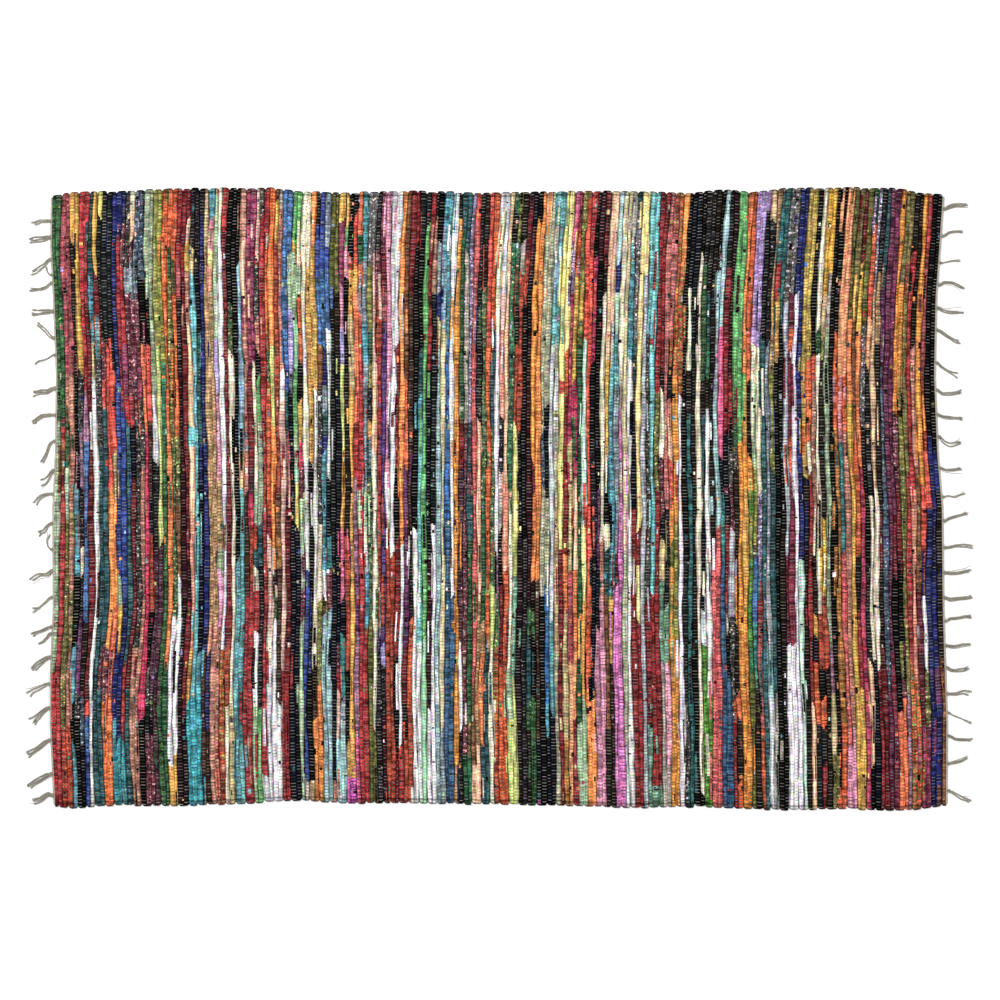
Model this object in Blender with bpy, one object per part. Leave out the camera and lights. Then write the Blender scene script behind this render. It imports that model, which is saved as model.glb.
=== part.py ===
"""A rag-woven cotton rug lying flat, with a knotted fringe at each of its two short ends.

Metres, +Z up. X runs along the rug from the left fringe to the right one and Y runs across it.
The underside lies on Z = 0, with the origin near its middle.
"""

from bisect import bisect_right
from math import cos, pi
from typing import Callable, NamedTuple

import bmesh
import bpy
from mathutils import Vector

MM = 0.001

# The rag weave: picks lie across the rug, and each is a raised rib
PICKS = 192
CREST_HEIGHT = 7.0 * MM
VALLEY_HEIGHT = 4.5 * MM
TURN_DEPTH = 4.5 * MM  # how far a rag's turn stands out beyond the notch beside it

# The heading: a narrow strip of plain yarn at each end, parted from the weave
HEADING_WIDTH = 4.0 * MM
HEADING_HEIGHT = 4.0 * MM
HEADING_SHORT = 3.0 * MM  # how far it ends before the long edges
PARTING = 0.3 * MM

# The tassels: a flat-bottomed knot, then strands whose section is a low trapezium
KNOT_LENGTH = 4.0 * MM
KNOT_HEIGHT = 6.0 * MM
STRAND_FILL = 0.78  # a strand's share of its place's width
STRAND_TOP = 0.6  # its top's share of its own width
STRAND_TAPER = 0.75  # its tip's share of its size
STRAND_HEIGHT = 3.6 * MM

CLOTH_COLOUR = (0.16, 0.09, 0.09, 1.0)
WARP_COLOUR = (0.42, 0.39, 0.34, 1.0)
CLOTH_ROUGHNESS = 0.95


class Section(NamedTuple):
    """A line along X at one place across the rug, and where the body's two ends lie on it, in mm."""

    across: float
    left: float
    right: float


class Edge(NamedTuple):
    """A line along Y at one place along the rug, and where the two long edges lie on it, in mm."""

    along: float
    bottom: float
    top: float


class Tassel(NamedTuple):
    """A tassel's root along Y, three places of its run, its width, strands and splay, in mm.

    Each place is how far out it lies from the heading and how far to the +Y side of the root.
    """

    root: float
    near_out: float
    near_side: float
    far_out: float
    far_side: float
    tip_out: float
    tip_side: float
    width: float
    strands: int
    splay: float


# The two ends draw in towards the middle of the rug
SECTIONS = (
    Section(-605, -865, 878),
    Section(-440, -873, 879),
    Section(-345, -873, 876),
    Section(-216, -867, 872),
    Section(-20, -868, 870),
    Section(88, -863, 861),
    Section(240, -861, 855),
    Section(392, -867, 858),
    Section(488, -872, 865),
    Section(605, -871, 873),
)

EDGES = (
    Edge(-880, -598, 588),
    Edge(-828, -603, 596),
    Edge(-731, -597, 599),
    Edge(-634, -599, 604),
    Edge(-439, -591, 605),
    Edge(-380, -587, 599),
    Edge(-303, -593, 595),
    Edge(-147, -593, 599),
    Edge(-30, -595, 595),
    Edge(126, -597, 599),
    Edge(262, -603, 599),
    Edge(379, -600, 595),
    Edge(457, -603, 602),
    Edge(496, -603, 596),
    Edge(564, -608, 604),
    Edge(671, -603, 605),
    Edge(749, -607, 605),
    Edge(808, -607, 599),
    Edge(880, -597, 590),
)

LEFT_TASSELS = (
    Tassel(-578, 12, 2, 27, -10, 46, -15, 9, 3, 6),
    Tassel(-537, 18, -8, 33, -16, 48, -25, 11, 3, 5),
    Tassel(-471, 16, -10, 27, -19, 46, -30, 8, 3, 9),
    Tassel(-408, 14, -8, 25, -19, 38, -32, 8, 3, 8),
    Tassel(-361, 20, -8, 34, -14, 46, -22, 8, 2, 7),
    Tassel(-309, 16, -8, 27, -15, 38, -26, 8, 3, 6),
    Tassel(-263, 9, -9, 17, -17, 27, -22, 5, 2, 2),
    Tassel(-250, 18, -7, 30, -11, 43, -16, 6, 2, 2),
    Tassel(-192, 16, -12, 29, -24, 43, -29, 5, 2, 2),
    Tassel(-141, 11, -8, 29, -8, 47, -21, 8, 2, 4),
    Tassel(-99, 10, 6, 12, 20, 8, 34, 5, 1, 0),
    Tassel(-48, 12, -8, 18, -18, 32, -22, 6, 2, 5),
    Tassel(9, 16, -2, 26, -7, 41, -23, 5, 2, 2),
    Tassel(55, 12, -14, 20, -24, 30, -29, 6, 2, 8),
    Tassel(112, 11, -9, 19, -30, 25, -45, 5, 2, 1),
    Tassel(163, 26, -2, 36, -9, 45, -18, 7, 3, 5),
    Tassel(215, 18, -8, 31, -8, 47, -11, 10, 3, 5),
    Tassel(280, 16, -8, 33, -13, 43, -18, 4, 1, 0),
    Tassel(313, 11, 6, 21, 18, 37, 31, 8, 2, 3),
    Tassel(365, 13, -1, 30, -3, 48, -4, 9, 3, 7),
    Tassel(420, 12, -9, 24, -13, 48, -14, 6, 2, 1),
    Tassel(436, 6, 3, 10, 8, 13, 16, 4, 1, 0),
    Tassel(466, 14, -12, 27, -21, 41, -31, 8, 2, 3),
    Tassel(509, 13, -3, 28, -5, 44, -8, 11, 3, 5),
    Tassel(541, 12, -1, 21, 0, 38, -6, 6, 2, 1),
)

RIGHT_TASSELS = (
    Tassel(-570, 18, -8, 31, -16, 48, -20, 7, 2, 1),
    Tassel(-517, 16, 2, 29, 6, 43, 12, 5, 2, 1),
    Tassel(-463, 14, -6, 31, -8, 49, -8, 6, 2, 1),
    Tassel(-418, 10, -5, 23, -10, 47, -23, 4, 1, 0),
    Tassel(-381, 20, 0, 35, 4, 51, 0, 6, 2, 2),
    Tassel(-330, 9, -6, 20, -7, 49, -4, 7, 2, 2),
    Tassel(-287, 19, -2, 35, 1, 56, 4, 7, 2, 1),
    Tassel(-239, 11, 5, 33, 6, 56, 10, 6, 2, 2),
    Tassel(-194, 12, -4, 31, -1, 55, 2, 8, 3, 2),
    Tassel(-145, 14, -2, 33, 0, 56, 4, 7, 2, 1),
    Tassel(-96, 13, 1, 24, 4, 58, 4, 7, 2, 2),
    Tassel(-44, 11, 5, 27, 10, 51, 16, 6, 2, 1),
    Tassel(3, 12, 2, 25, -1, 47, 6, 4, 1, 0),
    Tassel(59, 11, -4, 25, -4, 45, 0, 5, 2, 1),
    Tassel(120, 12, -11, 24, -16, 47, -10, 7, 2, 3),
    Tassel(163, 12, -4, 31, -5, 53, -6, 6, 2, 1),
    Tassel(211, 12, -8, 31, -8, 55, -4, 6, 2, 1),
    Tassel(264, 12, -9, 27, -18, 47, -29, 6, 2, 1),
    Tassel(328, 22, -14, 38, -25, 49, -31, 6, 2, 2),
    Tassel(371, 10, -5, 25, -8, 53, -8, 7, 2, 1),
    Tassel(416, 11, 6, 31, 4, 55, -8, 6, 2, 1),
    Tassel(459, 19, 4, 31, 5, 43, 6, 4, 1, 0),
    Tassel(511, 15, 8, 29, 10, 45, 12, 5, 2, 1),
    Tassel(564, 11, 5, 23, 8, 51, 10, 7, 3, 4),
)


def between(table: tuple, key: str, value: str, at: float) -> float:
    """A table's value at a place, straight between its rows.

    Args:
        table: rows sorted by the key's column.
        key: the column that holds the places, in mm.
        value: the column that is read, in mm.
        at: the place, in metres.

    Returns:
        The value in metres.
    """
    places = [getattr(row, key) * MM for row in table]
    upper = min(max(bisect_right(places, at), 1), len(table) - 1)
    share = (at - places[upper - 1]) / (places[upper] - places[upper - 1])
    low = getattr(table[upper - 1], value)
    high = getattr(table[upper], value)
    return (low + (high - low) * share) * MM


def left_end(y: float) -> float:
    """X of the body's left end."""
    return between(SECTIONS, "across", "left", y)


def right_end(y: float) -> float:
    """X of the body's right end."""
    return between(SECTIONS, "across", "right", y)


def remove_everything() -> None:
    """Empties the scene of its objects."""
    for thing in list(bpy.data.objects):
        bpy.data.objects.remove(thing, do_unlink=True)


def plain_material(name: str, colour: tuple[float, ...]) -> bpy.types.Material:
    """A matt cloth material of one colour."""
    material = bpy.data.materials.new(name)
    material.use_nodes = True
    shader = material.node_tree.nodes["Principled BSDF"]
    shader.inputs["Base Color"].default_value = colour
    shader.inputs["Roughness"].default_value = CLOTH_ROUGHNESS
    shader.inputs["Metallic"].default_value = 0.0
    return material


def add_object(
    name: str,
    mesh: bmesh.types.BMesh,
    material: bpy.types.Material,
    collection: bpy.types.Collection,
) -> bpy.types.Object:
    """Puts a finished mesh in the collection as an object of that name."""
    data = bpy.data.meshes.new(name)
    mesh.to_mesh(data)
    mesh.free()
    data.materials.append(material)
    thing = bpy.data.objects.new(name, data)
    collection.objects.link(thing)
    return thing


def weave_point(column: int, row: int) -> Vector:
    """Where a corner of the ribbed face lies.

    Args:
        column: 0 at the left end. Odd columns run along a pick's crest and even ones between picks.
        row: 0 on the bottom long edge, and the last section's number on the top one.
    """
    share = column / (2 * PICKS)
    y = SECTIONS[row].across * MM
    x = left_end(y) + (right_end(y) - left_end(y)) * share
    turn = TURN_DEPTH / 2 * cos(pi * column / 2)
    if row == 0:
        y = between(EDGES, "along", "bottom", x) - turn
    elif row == len(SECTIONS) - 1:
        y = between(EDGES, "along", "top", x) - turn
    inset = HEADING_WIDTH + PARTING
    left = left_end(y) + inset
    right = right_end(y) - inset
    height = CREST_HEIGHT if column % 2 else VALLEY_HEIGHT
    return Vector((left + (right - left) * share, y, height))


def build_weave() -> bmesh.types.BMesh:
    """The flat cloth with its picks raised as ribs and its turns along both long edges."""
    columns = 2 * PICKS
    rows = len(SECTIONS) - 1
    mesh = bmesh.new()
    bmesh.ops.create_grid(mesh, x_segments=columns, y_segments=rows, size=1.0)
    for corner in mesh.verts:
        column = round((corner.co.x + 1.0) / 2.0 * columns)
        row = round((corner.co.y + 1.0) / 2.0 * rows)
        corner.co = weave_point(column, row)
    ribbed = list(mesh.faces)
    raised = bmesh.ops.extrude_face_region(mesh, geom=ribbed)["geom"]
    lower = [part for part in raised if isinstance(part, bmesh.types.BMVert)]
    for corner in lower:
        corner.co.z = 0.0
    under = [part for part in raised if isinstance(part, bmesh.types.BMFace)]
    bmesh.ops.dissolve_faces(mesh, faces=under, use_verts=False)
    bmesh.ops.recalc_face_normals(mesh, faces=mesh.faces)
    return mesh


def heading_stations(tassels: tuple[Tassel, ...], low: float, high: float) -> list[float]:
    """Places along Y where the heading is divided: its ends, the sections and each strand's sides."""
    places = [low, high]
    places += [s.across * MM for s in SECTIONS if low < s.across * MM < high]
    for tassel in tassels:
        for side in range(tassel.strands + 1):
            places.append((tassel.root + tassel.width * (side / tassel.strands - 0.5)) * MM)
    return sorted(places)


def move_ring(
    face: bmesh.types.BMFace,
    centre: Vector,
    along: Vector,
    width: float,
    height: float,
    top_share: float,
) -> None:
    """Sets a strand's end face upright on the floor, across the strand's own direction.

    Args:
        face: the four-sided end face, in the place that it was extruded from.
        centre: the middle of its lower edge.
        along: the strand's direction there.
        width: the lower edge's length.
        height: how high the upper edge lies.
        top_share: the upper edge's share of that length.
    """
    aside = Vector((-along.y, along.x, 0.0)).normalized()
    middle = face.calc_center_median()
    for corner in face.verts:
        upper = corner.co.z > middle.z
        side = 1.0 if (corner.co - middle).dot(aside) > 0.0 else -1.0
        reach = side * width / 2 * (top_share if upper else 1.0)
        corner.co = centre + aside * reach + Vector((0.0, 0.0, height if upper else 0.0))


def tassel_places(tassel: Tassel, out: float, end: Callable[[float], float]) -> list[Vector]:
    """The tassel's run on the floor, from its knot's far side to its tip."""
    root_y = tassel.root * MM
    root_x = end(root_y)
    places = [Vector((root_x + out * KNOT_LENGTH, root_y, 0.0))]
    for reach, side in (
        (tassel.near_out, tassel.near_side),
        (tassel.far_out, tassel.far_side),
        (tassel.tip_out, tassel.tip_side),
    ):
        places.append(Vector((root_x + out * reach * MM, root_y + side * MM, 0.0)))
    return places


def grow_knot(
    mesh: bmesh.types.BMesh, faces: list[bmesh.types.BMFace], out: float
) -> list[bmesh.types.BMFace]:
    """Pulls a knot out of the heading's outer faces. Returns its far faces, in the same order."""
    grown = bmesh.ops.extrude_face_region(mesh, geom=faces)["geom"]
    bmesh.ops.delete(mesh, geom=faces, context="FACES_ONLY")
    for part in grown:
        if isinstance(part, bmesh.types.BMVert):
            part.co.x += out * KNOT_LENGTH
            if part.co.z > HEADING_HEIGHT / 2:
                part.co.z = KNOT_HEIGHT
    far = [part for part in grown if isinstance(part, bmesh.types.BMFace)]
    return sorted(far, key=lambda face: face.calc_center_median().y)


def grow_strand(
    mesh: bmesh.types.BMesh,
    face: bmesh.types.BMFace,
    tassel: Tassel,
    places: list[Vector],
    lane: float,
) -> None:
    """Draws one strand out of the knot along the tassel's run.

    Args:
        mesh: the fringe's mesh.
        face: the knot's far face that the strand grows from.
        tassel: the tassel it belongs to.
        places: the tassel's run.
        lane: the strand's place beside the run, from -0.5 to 0.5.
    """
    steps = len(places) - 1
    pitch = tassel.width / tassel.strands * MM
    for step in range(1, steps + 1):
        share = step / steps
        ahead = places[min(step + 1, steps)]
        along = (ahead - places[step - 1]).normalized()
        aside = Vector((-along.y, along.x, 0.0))
        if aside.y < 0.0:
            aside = -aside
        spread = (tassel.width + tassel.splay * share) * MM
        size = 1.0 - (1.0 - STRAND_TAPER) * share
        face = bmesh.ops.extrude_discrete_faces(mesh, faces=[face])["faces"][0]
        move_ring(
            face,
            places[step] + aside * lane * spread,
            along,
            pitch * STRAND_FILL * size,
            STRAND_HEIGHT * size,
            STRAND_TOP,
        )


def build_fringe(
    tassels: tuple[Tassel, ...], out: float, end: Callable[[float], float]
) -> bmesh.types.BMesh:
    """One end's heading with its knots and strands.

    Args:
        tassels: the end's tassels.
        out: -1 where the fringe points to -X, and 1 where it points to +X.
        end: gives X of the body's end at a place across the rug.
    """
    corner_x = end(0.0)
    low = between(EDGES, "along", "bottom", corner_x) + HEADING_SHORT
    high = between(EDGES, "along", "top", corner_x) - HEADING_SHORT
    stations = heading_stations(tassels, low, high)
    mesh = bmesh.new()
    bmesh.ops.create_grid(mesh, x_segments=1, y_segments=len(stations) - 1, size=1.0)
    for corner in mesh.verts:
        y = stations[round((corner.co.y + 1.0) / 2.0 * (len(stations) - 1))]
        outer = corner.co.x * out > 0.0
        corner.co = Vector((end(y) - (0.0 if outer else out * HEADING_WIDTH), y, 0.0))
    lifted = bmesh.ops.extrude_face_region(mesh, geom=list(mesh.faces))["geom"]
    for part in lifted:
        if isinstance(part, bmesh.types.BMVert):
            part.co.z = HEADING_HEIGHT
    bmesh.ops.recalc_face_normals(mesh, faces=mesh.faces)
    for tassel in tassels:
        half = tassel.width / 2 * MM
        rooted = []
        for face in mesh.faces:
            middle = face.calc_center_median()
            on_outer = face.normal.x * out > 0.7 and abs(middle.x - end(middle.y)) < PARTING
            if on_outer and abs(middle.y - tassel.root * MM) < half:
                rooted.append(face)
        far = grow_knot(mesh, rooted, out)
        places = tassel_places(tassel, out, end)
        for number, face in enumerate(far):
            lane = (number + 0.5) / tassel.strands - 0.5
            grow_strand(mesh, face, tassel, places, lane)
        mesh.normal_update()
    bmesh.ops.recalc_face_normals(mesh, faces=mesh.faces)
    return mesh


def main() -> None:
    """Builds the rug's three pieces in their collection."""
    remove_everything()
    collection = bpy.data.collections.new("Rag rug")
    bpy.context.scene.collection.children.link(collection)
    cloth = plain_material("rag_cotton", CLOTH_COLOUR)
    warp = plain_material("warp_cotton", WARP_COLOUR)
    add_object("rag_weave", build_weave(), cloth, collection)
    add_object("fringe_left", build_fringe(LEFT_TASSELS, -1.0, left_end), warp, collection)
    add_object("fringe_right", build_fringe(RIGHT_TASSELS, 1.0, right_end), warp, collection)


main()
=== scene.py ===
"""Dresses the rag-woven cotton rug: its relief, its rags' colours, its headings and its knotted fringe.

Metres, +Z up, +X along the rug from the left fringe to the right one, and the underside on Z = 0.
"""

import logging
import math
from dataclasses import dataclass
from enum import Enum
from typing import Any, Iterator

import bpy
import numpy as np
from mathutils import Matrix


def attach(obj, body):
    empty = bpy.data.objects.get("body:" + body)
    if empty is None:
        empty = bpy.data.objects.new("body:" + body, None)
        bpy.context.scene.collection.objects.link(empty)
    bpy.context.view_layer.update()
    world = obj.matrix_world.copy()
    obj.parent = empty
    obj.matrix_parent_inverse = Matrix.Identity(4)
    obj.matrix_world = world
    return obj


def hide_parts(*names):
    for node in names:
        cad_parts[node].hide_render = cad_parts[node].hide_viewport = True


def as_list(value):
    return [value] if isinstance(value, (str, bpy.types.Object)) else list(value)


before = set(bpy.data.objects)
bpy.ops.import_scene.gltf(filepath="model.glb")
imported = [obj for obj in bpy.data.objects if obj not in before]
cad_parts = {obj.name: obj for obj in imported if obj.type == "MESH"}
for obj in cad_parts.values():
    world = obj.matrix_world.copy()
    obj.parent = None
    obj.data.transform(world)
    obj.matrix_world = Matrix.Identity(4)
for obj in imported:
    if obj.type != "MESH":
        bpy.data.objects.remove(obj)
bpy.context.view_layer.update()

MM = 0.001
LOG = logging.getLogger("rug")

Array = np.ndarray
Part = tuple[Array, Array]
Socket = bpy.types.NodeSocket
Tree = bpy.types.NodeTree


@dataclass(frozen=True)
class Weave:
    """How closely the rug is woven.

    Attributes:
        picks: rag picks along the rug.
        warp_ends: warp ends across it.
        pick_pitch: the picks' pitch in mm.
        warp_pitch: the warp ends' pitch in mm.
        width: the rug's even width in mm.
        tight_end: where the yarn pulls the picks' turns tight, in warp ends from a long edge.
    """

    picks: int = 192
    warp_ends: int = 394
    pick_pitch: float = 9.04
    warp_pitch: float = 3.04
    width: float = 1200.0
    tight_end: float = 2.4


WEAVE = Weave()


def linear(hex_colour: str) -> tuple[float, float, float]:
    """Turns an sRGB hex colour into linear red, green and blue.

    Args:
        hex_colour: six hex digits.

    Returns:
        The three channels, from 0 to 1.
    """
    channels = [int(hex_colour[at:at + 2], 16) / 255 for at in (0, 2, 4)]
    red, green, blue = (c / 12.92 if c <= 0.04045 else ((c + 0.055) / 1.055) ** 2.4 for c in channels)
    return red, green, blue


@dataclass(frozen=True)
class Cotton:
    """A cloth that rags were torn from.

    Attributes:
        ground: its colour.
        figure: the colour of its print, or nothing where it is plain.
        cover: the share of its face that the print covers.
    """

    ground: str
    figure: str = ""
    cover: float = 0.0


class Rag(Enum):
    """The cloths in the rug, plain ones first and prints after them."""

    CRIMSON = Cotton("a02c30")
    GARNET = Cotton("802024")
    MAROON = Cotton("6a1a22")
    BURGUNDY = Cotton("6a2234")
    CLARET = Cotton("642644")
    WINE = Cotton("3e1321")
    RASPBERRY = Cotton("9e2a4c")
    BERRY = Cotton("80304e")
    MAGENTA = Cotton("c22c54")
    FUCHSIA = Cotton("cc5880")
    ROSE = Cotton("96444a")
    DUSKROSE = Cotton("b0645f")
    ROSEPINK = Cotton("c47f86")
    PINK = Cotton("d088a2")
    MALLOW = Cotton("cc70b0")
    ORCHID = Cotton("ba4c9c")
    MAUVE = Cotton("90667a")
    BLUSH = Cotton("d8ae9e")
    WATERMELON = Cotton("cc5858")
    CORAL = Cotton("e67048")
    TOMATO = Cotton("cf4638")
    BRICK = Cotton("9e3c28")
    RUST = Cotton("c8562c")
    COPPER = Cotton("dd7a42")
    ORANGE = Cotton("dc6830")
    TANGERINE = Cotton("ea8a44")
    AMBER = Cotton("d68634")
    APRICOT = Cotton("de9668")
    SALMON = Cotton("d88c72")
    PEACH = Cotton("f2bd9a")
    DUSTY = Cotton("ac7462")
    MARIGOLD = Cotton("d8a04a")
    MUSTARD = Cotton("cda044")
    GOLD = Cotton("cc9c30")
    YELLOW = Cotton("efdc78")
    LEMON = Cotton("f4ea8a")
    BUTTER = Cotton("f2de92")
    CREAM = Cotton("efe6c8")
    IVORY = Cotton("e8dec6")
    WHITE = Cotton("f8f5f5")
    PEARL = Cotton("ece6f4")
    SILVER = Cotton("ccced0")
    PEWTER = Cotton("a9a9b2")
    STEEL = Cotton("7c8690")
    STONE = Cotton("a59d92")
    SAND = Cotton("cfc196")
    KHAKI = Cotton("b4a273")
    LINEN = Cotton("a4a286")
    TAN = Cotton("c2a07c")
    BRONZE = Cotton("a06a30")
    BROWN = Cotton("74482c")
    COCOA = Cotton("452c22")
    BARK = Cotton("2a201a", "53443a", 0.20)
    BLACK = Cotton("0e0f10", "33383a", 0.16)
    CHARCOAL = Cotton("1e2426", "465250", 0.22)
    INK = Cotton("12162a", "36425a", 0.20)
    NAVY = Cotton("20286a")
    ROYAL = Cotton("2a3f86")
    COBALT = Cotton("2a62a0")
    DENIM = Cotton("2a4e70")
    AZURE = Cotton("40699c")
    AQUA = Cotton("4d8c9a")
    LAKE = Cotton("5a9698")
    LAGOON = Cotton("36929a")
    HAZE = Cotton("7898ac")
    SKY = Cotton("8fb6c8")
    FROST = Cotton("b6d8d8")
    FOAM = Cotton("98bfc0")
    SEAFOAM = Cotton("90b2b2")
    TURQUOISE = Cotton("66b0ae")
    TEAL = Cotton("367a7a")
    DEEPTEAL = Cotton("2c6062")
    PETROL = Cotton("22484c")
    FOREST = Cotton("225030")
    EMERALD = Cotton("2e7050")
    LEAF = Cotton("2a5230", "8e9a5c", 0.30)
    GREEN = Cotton("62a25e")
    MINT = Cotton("9ad0a4")
    EUCALYPTUS = Cotton("6c957c")
    CELADON = Cotton("9db490")
    SAGE = Cotton("8f9c80")
    LIME = Cotton("c2c876")
    GRASS = Cotton("528a30")
    OLIVE = Cotton("84843c")
    BRONZEGREEN = Cotton("74683a")
    MOSS = Cotton("5a5c26")
    VIOLET = Cotton("563670")
    LILAC = Cotton("a092c8")
    WISTERIA = Cotton("a68cc0")
    LAVENDER = Cotton("bca8dc")
    PLUM = Cotton("5c2a54")
    AUBERGINE = Cotton("2c1722")
    DARK_PRINT = Cotton("26242a", "b8a8b0", 0.30)
    GREY_PRINT = Cotton("5a5858", "c8c4c4", 0.38)
    STONE_PRINT = Cotton("3a3836", "c8c2b8", 0.36)
    PALE_PRINT = Cotton("e8e4e0", "7a7478", 0.25)
    CREAM_PRINT = Cotton("e6dabc", "94745a", 0.32)
    TAN_PRINT = Cotton("a48059", "6c4c32", 0.34)
    MINT_PRINT = Cotton("c8e4d4", "2a2a28", 0.14)
    ROSE_PRINT = Cotton("642e3a", "cfa0a4", 0.36)
    PINK_PRINT = Cotton("dc94ac", "8a4458", 0.34)
    BERRY_PRINT = Cotton("4a2838", "b48c98", 0.26)
    LILAC_PRINT = Cotton("786888", "d8ccd8", 0.40)
    SALMON_PRINT = Cotton("ea9a7e", "c03c34", 0.32)
    PEACH_PRINT = Cotton("e2b896", "c05a42", 0.32)
    FLAME_PRINT = Cotton("d05a30", "2e2a28", 0.25)
    BRICK_PRINT = Cotton("b4482e", "7a8040", 0.46)
    GOLD_PRINT = Cotton("bf9048", "6a4a2c", 0.32)
    OLIVE_PRINT = Cotton("6c6a34", "b8b47c", 0.36)
    MOSS_PRINT = Cotton("b49a4a", "4c6a5c", 0.32)
    FERN_PRINT = Cotton("2e6646", "b4b49c", 0.34)
    GARDEN_PRINT = Cotton("3e6040", "c8b070", 0.38)
    SEA_PRINT = Cotton("4a8c96", "1f3a48", 0.36)
    SLATE_PRINT = Cotton("38485a", "a4acb4", 0.36)
    SKY_PRINT = Cotton("9cc8d8", "8a8078", 0.32)


# The cloths that most often show for a short way between the others
DARK_RAGS = (Rag.BLACK, Rag.BLACK, Rag.BARK, Rag.INK, Rag.CHARCOAL, Rag.WINE, Rag.PETROL)


@dataclass(frozen=True)
class Pick:
    """One pick of rags, laid across the rug.

    Attributes:
        rags: its cloths, from the far long edge to the near one.
        joins: how high across the rug each is joined to the next, in mm.
    """

    rags: tuple[Rag, ...]
    joins: tuple[int, ...]

    @classmethod
    def read(cls, row: str) -> "Pick":
        """Reads a row of the chart: a cloth, then a join and the next cloth in turn."""
        words = row.split()
        return cls(tuple(Rag[word] for word in words[0::2]), tuple(int(word) for word in words[1::2]))


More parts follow.
